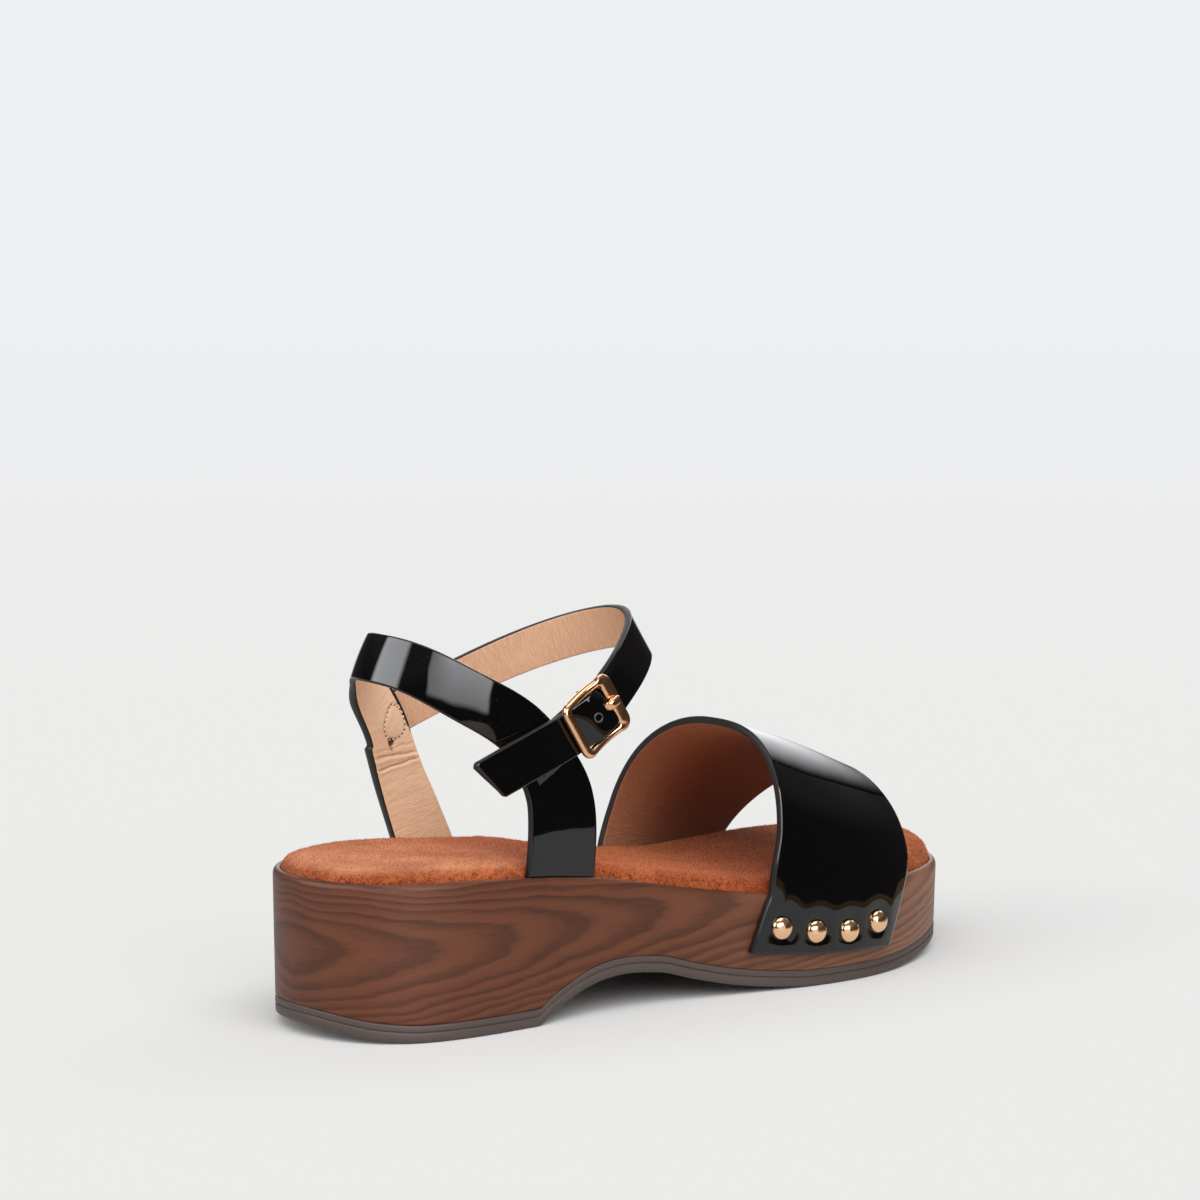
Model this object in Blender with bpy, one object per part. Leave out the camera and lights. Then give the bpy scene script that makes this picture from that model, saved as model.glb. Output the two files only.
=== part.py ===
"""Flatform sandal, right shoe: wood-look platform, rubber outsole, padded insole, patent straps.

Modelled in millimetres from the back of the heel: x runs to the toe, y to the inner side of the
foot, z up from the floor. An empty then scales to metres and puts the origin at the bottom centre.
"""
import bpy
import bmesh
import math
import numpy as np
from mathutils import Vector

for old in list(bpy.data.objects):
    bpy.data.objects.remove(old, do_unlink=True)

# Driving dimensions, in millimetres
MM = 0.001
GAP = 0.3
SOLE_THICK = 5.2
SOLE_EDGE_ROUND = 0.8
HEEL_TUCK = 0.6
TOE_TUCK = 1.2
TUCK_POWER = 8
RIM_WIDE = 2.4
RIM_ROUND = 1.2
BED_DEEP = 2.0
INSOLE_CROWN = 0.5
INSOLE_CROWN_INSET = 15.0
LEATHER = 2.0
STRAP_LEATHER = 1.8
STRAP_WIDE = 13.5
TAB_LEATHER = 1.0
TAB_LONG = 26.0
TAB_FACE = 0.1
TAIL_SKEW = -6.0
SEAT_DEEP = 20.0
STUD_WIDE = 7.0
STUD_HIGH = 2.7
NAIL_WIDE = 1.8
NAIL_LONG = 7.0
BUCKLE_SLOPE = 32.5
BUCKLE_CENTRE = Vector((84.1, -33.9, 91.3))
FRAME_HALF_LONG = 9.2
FRAME_HALF_WIDE = 9.4
FRAME_SQUARENESS = 5.0
FRAME_BOW = 3.5
FRAME_BOW_SHARE = 0.8
FRAME_WIRE = 0.9
BAR_WIRE = 0.8
BAR_CLEAR = 0.25
PRONG_WIRE = 0.55
PRONG_NECK_WIRE = 0.75
PRONG_TIP_WIRE = 0.95
PRONG_TIP_PAST = 0.8
PRONG_SIDE = 0.6
PRONG_CLEAR = 0.2
PRONG_TURNS = (100, 330)
SLOT_HALF_LONG = 2.4
SLOT_HIGH = 2.2

# Facets
SHARP_DEGREES = 35
LOOP_POINTS = 1200
LOOP_WRAP = 4
HEEL_ROUND = 24.0
HEEL_ROUND_STATIONS = 9
TOE_ROUND = 30.0
TOE_ROUND_STATIONS = 10
HEEL_STATIONS = 97
FOOT_STATIONS = 12
ANKLE_STATIONS = 121
SKEW_STATIONS = 7
FLAP_ROWS = 5
ARCH_ROWS = 37
VAMP_COLUMNS = 11
TAB_LOOP_POINTS = 17
PRONG_LOOP_POINTS = 12
PRONG_SIDES = 8
FRAME_POINTS = 48
FRAME_SIDES = 10
ROUND_SIDES = 12
BORE_SIDES = 14
STUD_SIDES = 14
DRILL_SIDES = 10
WALL_STEP = 2.0
STRAIGHT_ON = 0.2

# Sole outline: distance from the heel's back, half width to the outer and to the inner side
OUTLINE = (
    (2.5, 12.6, 13.1),
    (9.0, 23.6, 23.6),
    (22.0, 32.6, 32.1),
    (42.0, 36.6, 35.1),
    (72.0, 36.6, 34.6),
    (105.0, 37.6, 35.6),
    (135.0, 41.1, 39.1),
    (160.0, 45.1, 42.8),
    (182.0, 46.6, 44.1),
    (202.0, 43.6, 42.9),
    (221.0, 36.1, 38.1),
    (238.0, 24.1, 29.3),
    (248.0, 10.1, 18.1),
)
HEEL_TIP = (0.0, 0.5)
TOE_TIP = (252.0, 3.5)
# Stations between the round ends, close together at the heel's breast
MIDDLE_STATIONS = (
    30, 37, 44, 51, 58, 63, 65, 67, 69.5, 72, 76, 80, 84, 88, 92, 96, 102, 108, 115, 122,
    129, 137, 144, 151, 158.5, 166, 175, 185, 192.5, 200, 207.5, 215,
)

# Underside of the outsole: distance from the heel's back, height
UNDERSIDE = (
    (0.0, 4.0),
    (12.0, 1.1),
    (25.0, 0.0),
    (63.0, 0.0),
    (67.0, 2.4),
    (72.0, 5.0),
    (80.0, 8.6),
    (88.0, 10.8),
    (96.0, 11.5),
    (108.0, 10.5),
    (122.0, 6.7),
    (137.0, 3.2),
    (151.0, 1.2),
    (166.0, 0.0),
    (185.0, 0.0),
    (200.0, 0.33),
    (215.0, 1.5),
    (235.0, 3.5),
    (252.0, 4.1),
)

# Side view of the footbed: distance, height of the crease at the rim, rise of the insole above it
FOOTBED = (
    (0.0, 47.0, 3.2),
    (35.0, 46.4, 3.4),
    (59.0, 44.9, 3.8),
    (85.0, 42.2, 4.0),
    (115.0, 36.4, 4.0),
    (144.0, 31.6, 4.1),
    (165.0, 29.4, 4.4),
    (210.0, 30.2, 5.6),
    (252.0, 29.8, 6.4),
)
# Rounded shoulder of the insole: distance in from its edge, share of the rise
INSOLE_SHOULDER = (
    (0.0, 0.1),
    (0.8, 0.55),
    (2.4, 0.9),
    (5.5, 1.0),
)

# Vamp band around the foot: girth (0 outer foot, 1 outer rim, 3 top, 5 inner rim, 6 inner foot),
# x of its rear edge, x of its front edge
VAMP_EDGES = (
    (0.0, 138.6, 194.0),
    (1.0, 145.0, 203.0),
    (1.35, 150.8, 205.2),
    (2.0, 152.4, 207.0),
    (3.0, 153.0, 208.0),
    (4.0, 151.6, 205.0),
    (4.55, 150.4, 202.4),
    (5.0, 147.0, 200.0),
    (6.0, 141.0, 192.0),
)
# Vamp band from rear to front: share of its length, height of the lining's top, sideways place of
# that top, roundness of the outer and of the inner shoulder, height of the band's lower edge
VAMP_ARCHES = (
    (0.0, 80.2, -8.0, 2.9, 2.1, 12.4),
    (0.5, 71.4, -6.0, 2.4, 1.8, 9.6),
    (1.0, 61.2, -4.0, 1.95, 1.5, 8.2),
)

# Straps, a row for each fold: centre x, y, z, width, compass direction of the outer face in
# degrees, lean of that face to the sky in degrees
HEEL_STRAP = (
    (72.6, -32.9, 36.0, 24.0, -90.0, 0.0),
    (74.6, -32.9, 56.0, 24.0, -90.0, 0.0),
    (73.8, -32.6, 67.0, 22.8, -90.0, 1.0),
    (68.3, -32.2, 78.5, 19.4, -90.0, 1.0),
    (61.8, -31.5, 87.2, 16.8, -95.0, 0.0),
    (53.5, -30.0, 93.6, 15.8, -103.5, 0.0),
    (43.9, -26.4, 99.4, 15.3, -113.6, 4.0),
    (36.4, -20.4, 104.6, 14.9, -127.0, 11.0),
    (31.2, -12.8, 108.0, 14.5, -146.0, 18.0),
    (28.6, 0.0, 109.4, 14.3, -180.0, 22.0),
    (32.6, 12.0, 108.2, 14.5, -216.0, 20.0),
    (37.4, 19.4, 104.8, 15.0, -232.0, 12.0),
    (44.0, 26.9, 97.8, 15.6, -246.8, 1.0),
    (52.6, 29.8, 85.6, 16.2, -256.4, 0.0),
    (58.2, 31.0, 72.0, 16.2, -263.0, 0.0),
    (64.6, 31.0, 56.0, 17.4, -270.0, 0.0),
    (72.2, 31.0, 37.0, 19.2, -270.0, 0.0),
)
ANKLE_STRAP = (
    (48.6, 30.2, 84.2, STRAP_WIDE, 105.0, 0.0),
    (60.0, 32.9, 87.6, STRAP_WIDE, 98.0, 1.0),
    (72.0, 33.9, 91.6, STRAP_WIDE, 90.0, 4.0),
    (89.4, 32.1, 98.2, STRAP_WIDE, 76.0, 9.0),
    (106.9, 24.5, 105.6, STRAP_WIDE, 52.0, 12.0),
    (117.3, 10.6, 111.2, STRAP_WIDE, 24.0, 15.0),
    (120.1, -4.9, 113.7, STRAP_WIDE, -6.0, 20.0),
    (115.1, -18.3, 112.0, STRAP_WIDE, -36.0, 21.0),
    (104.4, -28.4, 106.0, STRAP_WIDE, -60.0, 15.0),
    (96.2, -33.1, 101.0, STRAP_WIDE, -78.0, 6.0),
    (91.2, -34.7, 97.0, STRAP_WIDE, -90.0, 0.0),
    (87.7, -36.7, 94.2, STRAP_WIDE, -90.0, 0.0),
    (84.4, -37.05, 91.5, STRAP_WIDE, -90.0, 0.0),
    (80.6, -36.2, 89.1, STRAP_WIDE, -90.0, 0.0),
    (77.1, -35.1, 86.9, STRAP_WIDE, -90.0, 0.0),
    (70.0, -35.1, 84.0, STRAP_WIDE, -90.0, 0.0),
    (58.0, -35.1, 79.5, STRAP_WIDE, -90.0, 0.0),
    (45.9, -35.1, 75.0, STRAP_WIDE, -90.0, 0.0),
)

# Prong between its loop round the bar and its rest: length and depth in the buckle's own frame
PRONG_RISE = (
    (2.3, 0.9),
    (3.3, 2.6),
    (4.2, 4.1),
)
PRONG_SHOULDER = (
    (5.6, -0.2),
    (7.4, 0.0),
)
PRONG_HOLE = (
    (2.0, 0.4),
    (5.0, 5.0),
)

# Studs along the vamp band's foot: x, height
STUDS = (
    (150.5, 20.8),
    (163.1, 18.4),
    (175.9, 17.2),
    (188.5, 18.8),
)
# Rings of a stud's dome: degrees up from its rim
STUD_RINGS = (12, 28, 46, 64, 80)

# Finishes: base colour, roughness, metallic
FINISHES = {
    "rubber": ((0.075, 0.055, 0.050), 0.6, 0.0),
    "wood": ((0.160, 0.065, 0.035), 0.45, 0.0),
    "suede": ((0.510, 0.115, 0.040), 0.95, 0.0),
    "patent": ((0.006, 0.006, 0.007), 0.08, 0.0),
    "metal": ((0.790, 0.400, 0.200), 0.2, 1.0),
}


# Curves through tables

def slopes(knots, values):
    """Slopes of a curve through the rows that adds no hump of its own between them."""
    step = np.diff(knots)
    rise = np.diff(values) / step
    found = np.zeros(len(knots))
    found[0] = rise[0]
    found[-1] = rise[-1]
    for i in range(1, len(knots) - 1):
        if rise[i - 1] * rise[i] > 0:
            ahead = 2 * step[i] + step[i - 1]
            behind = step[i] + 2 * step[i - 1]
            found[i] = (ahead + behind) / (ahead / rise[i - 1] + behind / rise[i])
    return found


def read(table, column, at):
    """The value of one column of a table at a place along its first column."""
    knots = np.array([row[0] for row in table], float)
    values = np.array([row[column] for row in table], float)
    slope = slopes(knots, values)
    at = np.clip(at, knots[0], knots[-1])
    i = np.clip(np.searchsorted(knots, at) - 1, 0, len(knots) - 2)
    step = knots[i + 1] - knots[i]
    t = (at - knots[i]) / step
    start = values[i] * (1 + 2 * t) * (1 - t) ** 2 + slope[i] * step * t * (1 - t) ** 2
    end = values[i + 1] * t * t * (3 - 2 * t) - slope[i + 1] * step * t * t * (1 - t)
    return start + end


def smooth_path(rows, count):
    """A natural cubic curve through the rows, read at evenly spaced places, with its direction."""
    rows = np.array(rows, float)
    step = np.linalg.norm(np.diff(rows[:, :3], axis=0), axis=1)
    knots = np.r_[0, np.cumsum(step)]
    n = len(rows)
    system = np.eye(n)
    bend_of = np.zeros_like(rows)
    for i in range(1, n - 1):
        system[i, i - 1:i + 2] = step[i - 1], 2 * (step[i - 1] + step[i]), step[i]
        bend_of[i] = 6 * ((rows[i + 1] - rows[i]) / step[i] - (rows[i] - rows[i - 1]) / step[i - 1])
    bend = np.linalg.solve(system, bend_of)
    at = np.linspace(0, knots[-1], count)
    i = np.clip(np.searchsorted(knots, at) - 1, 0, n - 2)
    h = step[i][:, None]
    a = (knots[i + 1] - at)[:, None]
    b = (at - knots[i])[:, None]
    first, second = bend[i], bend[i + 1]
    low = rows[i] / h - first * h / 6
    high = rows[i + 1] / h - second * h / 6
    values = first * a ** 3 / (6 * h) + second * b ** 3 / (6 * h) + low * a + high * b
    ways = -first * a ** 2 / (2 * h) + second * b ** 2 / (2 * h) - low + high
    return values, ways[:, :3]


# Sole outline and its rings

def outline_loop():
    """The outline as one dense closed loop: heel tip, outer side, toe tip, inner side."""
    outer = [(x, -wide, 0) for x, wide, _ in OUTLINE]
    inner = [(x, wide, 0) for x, _, wide in OUTLINE]
    rows = [(*HEEL_TIP, 0)] + outer + [(*TOE_TIP, 0)] + inner[::-1]
    path, _ = smooth_path(rows[-LOOP_WRAP:] + rows + rows[:LOOP_WRAP + 1], LOOP_POINTS)
    quarter = LOOP_POINTS // 4
    away = np.linalg.norm(path[:, :2] - HEEL_TIP, axis=1)
    start = np.argmin(away[:quarter])
    end = LOOP_POINTS - quarter + np.argmin(away[-quarter:])
    return path[start:end, :2]


LOOP = outline_loop()


def inset_loop(inset):
    """The outline moved inwards everywhere by one distance."""
    along = np.roll(LOOP, -1, axis=0) - np.roll(LOOP, 1, axis=0)
    along /= np.linalg.norm(along, axis=1)[:, None]
    return LOOP + inset * np.c_[-along[:, 1], along[:, 0]]


def side_widths(loop):
    """The loop's outer side and inner side, each with rising x."""
    heel = np.argmin(loop[:, 0])
    loop = np.roll(loop, -heel, axis=0)
    toe = np.argmax(loop[:, 0])
    return loop[:toe + 1], np.r_[loop[toe:], loop[:1]][::-1]


def stations():
    """Places along the shoe from 0 to 1: close at the round ends and at the heel's breast."""
    length = TOE_TIP[0]
    heel_round = HEEL_ROUND * (1 - np.cos(np.linspace(0, math.pi / 2, HEEL_ROUND_STATIONS)))
    toe_round = length - TOE_ROUND * (1 - np.cos(np.linspace(0, math.pi / 2, TOE_ROUND_STATIONS)))
    return np.unique(np.r_[heel_round, MIDDLE_STATIONS, toe_round]) / length


STATIONS = stations()


def ring(inset, height, heel_tuck=0.0, toe_tuck=0.0):
    """One closed row of points round the shoe: heel tip, outer side, toe tip, inner side."""
    outer, inner = side_widths(inset_loop(inset))
    first = outer[0, 0]
    last = outer[-1, 0]
    x = first + STATIONS * (last - first)
    outer_y = np.interp(x, outer[:, 0], outer[:, 1])
    inner_y = np.interp(x, inner[:, 0], inner[:, 1])
    shift = heel_tuck * (1 - STATIONS) ** TUCK_POWER - toe_tuck * STATIONS ** TUCK_POWER
    z = height(x)
    x = x + shift
    low = np.c_[x, outer_y, z]
    back = np.c_[x, inner_y, z][1:-1][::-1]
    return np.r_[low, back]


# Meshes

def finish(name):
    colour, roughness, metallic = FINISHES[name]
    material = bpy.data.materials.get(name) or bpy.data.materials.new(name)
    material.use_nodes = True
    shader = material.node_tree.nodes["Principled BSDF"]
    shader.inputs["Base Color"].default_value = (*colour, 1)
    shader.inputs["Roughness"].default_value = roughness
    shader.inputs["Metallic"].default_value = metallic
    return material


SHOE = bpy.data.objects.new("shoe", None)
bpy.context.collection.objects.link(SHOE)


def solid(name, points, faces, look):
    """A named closed mesh under the shoe's empty, with its faces turned outwards."""
    mesh = bpy.data.meshes.new(name)
    mesh.from_pydata([tuple(p) for p in points], [], faces)
    body = bmesh.new()
    body.from_mesh(mesh)
    bmesh.ops.recalc_face_normals(body, faces=body.faces)
    body.to_mesh(mesh)
    body.free()
    mesh.shade_smooth()
    mesh.set_sharp_from_angle(angle=math.radians(SHARP_DEGREES))
    mesh.materials.append(finish(look))
    made = bpy.data.objects.new(name, mesh)
    made.parent = SHOE
    bpy.context.collection.objects.link(made)
    return made


def join_by(target, tool, operation):
    """Cut the target with a hidden tool, or join the tool to it."""
    tool.hide_render = True
    tool.display_type = "WIRE"
    step = target.modifiers.new(tool.name, "BOOLEAN")
    step.operation = operation
    step.object = tool
    step.solver = "EXACT"


def ring_faces(count, size):
    """Quads between rings that follow each other."""
    quads = []
    for r in range(count - 1):
        for i in range(size):
            j = (i + 1) % size
            here = r * size
            quads.append((here + i, here + j, here + size + j, here + size + i))
    return quads


def ladder(first, size):
    """Faces that close a ring straight across the shoe, a strip for each pair of stations."""
    last = len(STATIONS) - 1
    faces = [(first, first + 1, first + size - 1)]
    for i in range(1, last - 1):
        faces.append((first + i, first + i + 1, first + size - i - 1, first + size - i))
    faces.append((first + last - 1, first + last, first + last + 1))
    return faces


def stacked(name, rings, look):
    """A solid from rings that rise, or turn inwards, from the underside to the top."""
    size = len(rings[0])
    faces = ring_faces(len(rings), size)
    faces += ladder(0, size)
    faces += ladder((len(rings) - 1) * size, size)
    return solid(name, np.concatenate(rings), faces, look)


def slab_faces(rows, columns):
    """Faces of a closed slab: an inner grid, an outer grid and the four edges between them."""
    count = rows * columns
    faces = []
    for r in range(rows - 1):
        for c in range(columns - 1):
            here = r * columns + c
            quad = [here, here + 1, here + columns + 1, here + columns]
            faces.append(quad)
            faces.append([k + count for k in quad[::-1]])
    border = [c for c in range(columns)]
    border += [r * columns + columns - 1 for r in range(1, rows)]
    border += [(rows - 1) * columns + c for c in range(columns - 2, -1, -1)]
    border += [r * columns for r in range(rows - 2, 0, -1)]
    for here, there in zip(border, border[1:] + border[:1]):
        faces.append([here, here + count, there + count, there])
    return faces


def tube(name, path, wires, sides, closed, look):
    """A round wire along a path, a radius for each point, closed into a ring or capped at both ends."""
    path = [Vector(p) for p in path]
    count = len(path)
    points = []
    for i, (place, wire) in enumerate(zip(path, wires)):
        before = path[i - 1] if closed or i else place
        after = path[(i + 1) % count] if closed or i < count - 1 else place
        way = (after - before).normalized()
        across = way.cross(BUCKLE_OUT)
        if across.length < STRAIGHT_ON:
            across = way.cross(BUCKLE_ALONG)
        across.normalize()
        second = way.cross(across)
        for k in range(sides):
            turn = 2 * math.pi * k / sides
            points.append(place + wire * (math.cos(turn) * across + math.sin(turn) * second))
    faces = ring_faces(count, sides)
    if closed:
        last = (count - 1) * sides
        faces += [(last + k, last + (k + 1) % sides, (k + 1) % sides, k) for k in range(sides)]
    else:
        faces += [tuple(range(sides)), tuple(range((count - 1) * sides, count * sides))]
    return solid(name, points, faces, look)


# Sole pieces

def underside(x):
    return read(UNDERSIDE, 1, x)


def crease(x):
    return read(FOOTBED, 1, x)


def bed(x):
    return crease(x) - BED_DEEP


def make_outsole():
    top = ring(0, lambda x: underside(x) + SOLE_THICK, HEEL_TUCK, TOE_TUCK)
    edge = ring(0, lambda x: underside(x) + SOLE_EDGE_ROUND, HEEL_TUCK, TOE_TUCK)
    foot = ring(SOLE_EDGE_ROUND, underside, HEEL_TUCK, TOE_TUCK)
    return stacked("outsole", [foot, edge, top], "rubber")


def make_platform():
    foot = ring(0, lambda x: underside(x) + SOLE_THICK + GAP, HEEL_TUCK, TOE_TUCK)
    wall = ring(0, lambda x: crease(x) - RIM_ROUND)
    crest = ring(RIM_ROUND / 3, lambda x: crease(x) - RIM_ROUND / 3)
    lip = ring(RIM_ROUND, crease)
    inside = ring(RIM_WIDE, lambda x: crease(x) - RIM_ROUND / 3)
    floor = ring(RIM_WIDE, bed)
    return stacked("platform", [foot, wall, crest, lip, inside, floor], "wood")


def make_insole():
    def rise(share):
        return lambda x: crease(x) + share * read(FOOTBED, 2, x)

    edge = RIM_WIDE + GAP
    rings = [ring(edge, lambda x: bed(x) + GAP)]
    for inset, share in INSOLE_SHOULDER:
        rings.append(ring(edge + inset, rise(share)))
    rings.append(ring(edge + INSOLE_CROWN_INSET, lambda x: rise(1.0)(x) + INSOLE_CROWN))
    return stacked("insole", rings, "suede")


# Vamp band

def wall_y(x, outer_side):
    outer, inner = side_widths(LOOP)
    side = outer if outer_side else inner
    return np.interp(x, side[:, 0], side[:, 1])


def vamp_point(share, girth):
    """Lining point: share 0 at the rear to 1 at the front, girth as in the edge table."""
    rear = read(VAMP_EDGES, 1, girth)
    front = read(VAMP_EDGES, 2, girth)
    x = rear + share * (front - rear)
    top, middle, outer_round, inner_round, low = (read(VAMP_ARCHES, c, share) for c in range(1, 6))
    outer_side = girth < 3
    roundness = outer_round if outer_side else inner_round
    foot_y = wall_y(x, outer_side) + (-GAP if outer_side else GAP)
    rim = crease(x)
    if 1 <= girth <= 5:
        turn = (girth - 1) * math.pi / 4
        y = middle + (foot_y - middle) * abs(math.cos(turn)) ** (2 / roundness)
        z = rim + (top - rim) * abs(math.sin(turn)) ** (2 / roundness)
    else:
        y = foot_y
        down = 1 - girth if outer_side else girth - 5
        z = rim + down * (low - rim)
    return np.array((x, y, z), float)


def make_vamp():
    flap = np.linspace(0, 1, FLAP_ROWS)[:-1]
    girths = np.r_[flap, np.linspace(1, 5, ARCH_ROWS), 6 - flap[::-1]]
    shares = np.linspace(0, 1, VAMP_COLUMNS)
    lining = np.array([[vamp_point(s, g) for s in shares] for g in girths])
    across = np.gradient(lining, axis=0)
    along = np.gradient(lining, axis=1)
    outwards = np.cross(along, across)
    outwards /= np.linalg.norm(outwards, axis=2)[:, :, None]
    if outwards[0, 0, 1] > 0:
        outwards = -outwards
    skin = lining + LEATHER * outwards
    points = np.r_[lining.reshape(-1, 3), skin.reshape(-1, 3)]
    return solid("vamp_band", points, slab_faces(len(girths), len(shares)), "patent")


# Heel strap, ankle strap and buckle tab

def ribbon(name, rows, count, stretch=slice(None), spare=0.0, skew=0.0):
    """A strap of leather through the rows, or a stretch of it.

    Spare makes it larger on every side, for a cutter. Skew slants the cut at its far end.
    """
    values, ways = smooth_path(rows, count)
    slant = skew * np.clip((np.arange(count) - count + 1 + SKEW_STATIONS) / SKEW_STATIONS, 0, 1)
    inner_face = []
    outer_face = []
    used = list(zip(values, ways, slant))[stretch]
    for (x, y, z, wide, facing, lean), way, slanted in used:
        facing = math.radians(facing)
        lean = math.radians(lean)
        level = math.cos(lean)
        out = Vector((math.cos(facing) * level, math.sin(facing) * level, math.sin(lean)))
        way = Vector(way).normalized()
        across = out.cross(way).normalized()
        out = way.cross(across).normalized()
        place = Vector((x, y, z))
        for side in (-0.5, 0.0, 0.5):
            point = place + across * side * (wide + 2 * spare) + way * side * slanted
            inner_face.append(point - out * (STRAP_LEATHER / 2 + spare))
            outer_face.append(point + out * (STRAP_LEATHER / 2 + spare))
    return solid(name, inner_face + outer_face, slab_faces(len(used), 3), "patent")


BUCKLE_ALONG = Vector((math.cos(math.radians(BUCKLE_SLOPE)), 0, math.sin(math.radians(BUCKLE_SLOPE))))
BUCKLE_OUT = Vector((0, -1, 0))
BUCKLE_UP = BUCKLE_OUT.cross(BUCKLE_ALONG)


def at_buckle(along, up, out):
    """A point in the buckle's own frame, whose origin is the middle of the centre bar."""
    return BUCKLE_CENTRE + along * BUCKLE_ALONG + up * BUCKLE_UP + out * BUCKLE_OUT


def prism(name, outline, half_wide, look):
    """An outline in the buckle's length and depth, carried across the strap."""
    count = len(outline)
    points = [at_buckle(a, side * half_wide, o) for side in (-1, 1) for a, o in outline]
    faces = ring_faces(2, count)
    faces += [tuple(range(count)), tuple(range(count, 2 * count))]
    return solid(name, points, faces, look)


def circle(radius, count):
    turns = [2 * math.pi * k / count for k in range(count)]
    return [(radius * math.cos(t), radius * math.sin(t)) for t in turns]


LOOP_INSIDE = BAR_WIRE + BAR_CLEAR
LOOP_OUTSIDE = LOOP_INSIDE + TAB_LEATHER
TAB_BACK = TAB_FACE - TAB_LEATHER


def make_tab():
    """A strip from the quarter strap to the centre bar, ending in the loop that holds the bar."""
    low = math.pi + math.asin(-TAB_BACK / LOOP_OUTSIDE)
    high = 3 * math.pi - math.asin(TAB_FACE / LOOP_OUTSIDE)
    outline = [(-TAB_LONG, TAB_BACK)]
    for turn in np.linspace(low, high, TAB_LOOP_POINTS):
        outline.append((LOOP_OUTSIDE * math.cos(turn), LOOP_OUTSIDE * math.sin(turn)))
    outline.append((-TAB_LONG, TAB_FACE))
    return prism("buckle_tab", outline, STRAP_WIDE / 2, "patent")


PRONG_LOOP = BAR_WIRE + PRONG_CLEAR + PRONG_WIRE


def prong_path():
    """Round the centre bar, up through the strap's hole and forward on to the frame's front bar."""
    turns = np.radians(np.linspace(*PRONG_TURNS, PRONG_LOOP_POINTS))
    path = [(PRONG_LOOP * math.cos(t), PRONG_LOOP * math.sin(t)) for t in turns]
    rest = FRAME_BOW + FRAME_WIRE + GAP + PRONG_TIP_WIRE
    path += PRONG_RISE
    path += [(a, rest + dip) for a, dip in PRONG_SHOULDER]
    path.append((FRAME_HALF_LONG + PRONG_TIP_PAST, rest))
    return [at_buckle(a, PRONG_SIDE, o) for a, o in path]


def make_prong():
    path = prong_path()
    thick = [PRONG_WIRE] * (len(path) - 3) + [PRONG_NECK_WIRE, PRONG_TIP_WIRE, PRONG_TIP_WIRE]
    return tube("buckle_prong", path, thick, PRONG_SIDES, False, "metal")


def make_straps(seat):
    straps = ribbon("upper_straps", HEEL_STRAP, HEEL_STATIONS)
    ankle = ribbon("ankle_strap", ANKLE_STRAP, ANKLE_STATIONS, skew=TAIL_SKEW)
    join_by(straps, ankle, "UNION")
    join_by(straps, make_tab(), "UNION")
    bore = prism("bar_bore", circle(LOOP_INSIDE, BORE_SIDES), STRAP_WIDE, "patent")
    join_by(straps, bore, "DIFFERENCE")
    slot_outline = [
        (-SLOT_HALF_LONG, -SLOT_HALF_LONG),
        (SLOT_HALF_LONG, -SLOT_HALF_LONG),
        (SLOT_HALF_LONG, SLOT_HIGH),
        (-SLOT_HALF_LONG, SLOT_HIGH),
    ]
    slot = prism("prong_slot", slot_outline, PRONG_WIRE + PRONG_SIDE + GAP, "patent")
    join_by(straps, slot, "DIFFERENCE")
    hole_path = [at_buckle(a, PRONG_SIDE, o) for a, o in PRONG_HOLE]
    hole = tube("prong_hole", hole_path, [PRONG_WIRE + 2 * GAP] * 2, ROUND_SIDES, False, "patent")
    join_by(straps, hole, "DIFFERENCE")
    join_by(straps, seat, "DIFFERENCE")
    return straps


def strap_seat():
    """All that lies under the bed, and a gap above it: the strap feet end there."""
    deep = ring(0, lambda x: bed(x) - SEAT_DEEP)
    top = ring(0, lambda x: bed(x) + GAP)
    return stacked("strap_seat", [deep, top], "wood")


# Buckle and studs

def make_frame():
    path = []
    for turn in np.linspace(0, 2 * math.pi, FRAME_POINTS, endpoint=False):
        along = math.copysign(abs(math.cos(turn)) ** (2 / FRAME_SQUARENESS), math.cos(turn))
        up = math.copysign(abs(math.sin(turn)) ** (2 / FRAME_SQUARENESS), math.sin(turn))
        lift = min(1, abs(along) / FRAME_BOW_SHARE)
        bow = FRAME_BOW * lift * lift * (3 - 2 * lift)
        path.append(at_buckle(along * FRAME_HALF_LONG, up * FRAME_HALF_WIDE, bow))
    frame = tube("buckle_frame", path, [FRAME_WIRE] * len(path), FRAME_SIDES, True, "metal")
    bar = prism("centre_bar", circle(BAR_WIRE, ROUND_SIDES), FRAME_HALF_WIDE, "metal")
    join_by(frame, bar, "UNION")
    return frame


def wall_way(x, outer_side):
    """Direction straight out of the sole's wall."""
    lean = (wall_y(x + WALL_STEP, outer_side) - wall_y(x - WALL_STEP, outer_side)) / (2 * WALL_STEP)
    out = Vector((lean, -1, 0)) if outer_side else Vector((-lean, 1, 0))
    return out.normalized()


def lathe(name, profile, base, out, sides, look):
    """A turned piece: profile rows of radius and height along the outward axis."""
    second = out.cross(Vector((0, 0, 1))).normalized()
    third = out.cross(second)
    points = []
    for radius, height in profile:
        for k in range(sides):
            turn = 2 * math.pi * k / sides
            spread = radius * (math.cos(turn) * second + math.sin(turn) * third)
            points.append(base + height * out + spread)
    faces = ring_faces(len(profile), sides)
    faces += [tuple(range(sides)), tuple(range((len(profile) - 1) * sides, len(profile) * sides))]
    return solid(name, points, faces, look)


def stud_profile():
    """A nail under a dome: shank, flat underside, rounded head with a small flat crown."""
    head = [(NAIL_WIDE / 2, -NAIL_LONG), (NAIL_WIDE / 2, 0.0), (STUD_WIDE / 2, 0.0)]
    for turn in np.radians(STUD_RINGS):
        head.append((STUD_WIDE / 2 * math.cos(turn), STUD_HIGH * math.sin(turn)))
    return head


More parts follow.
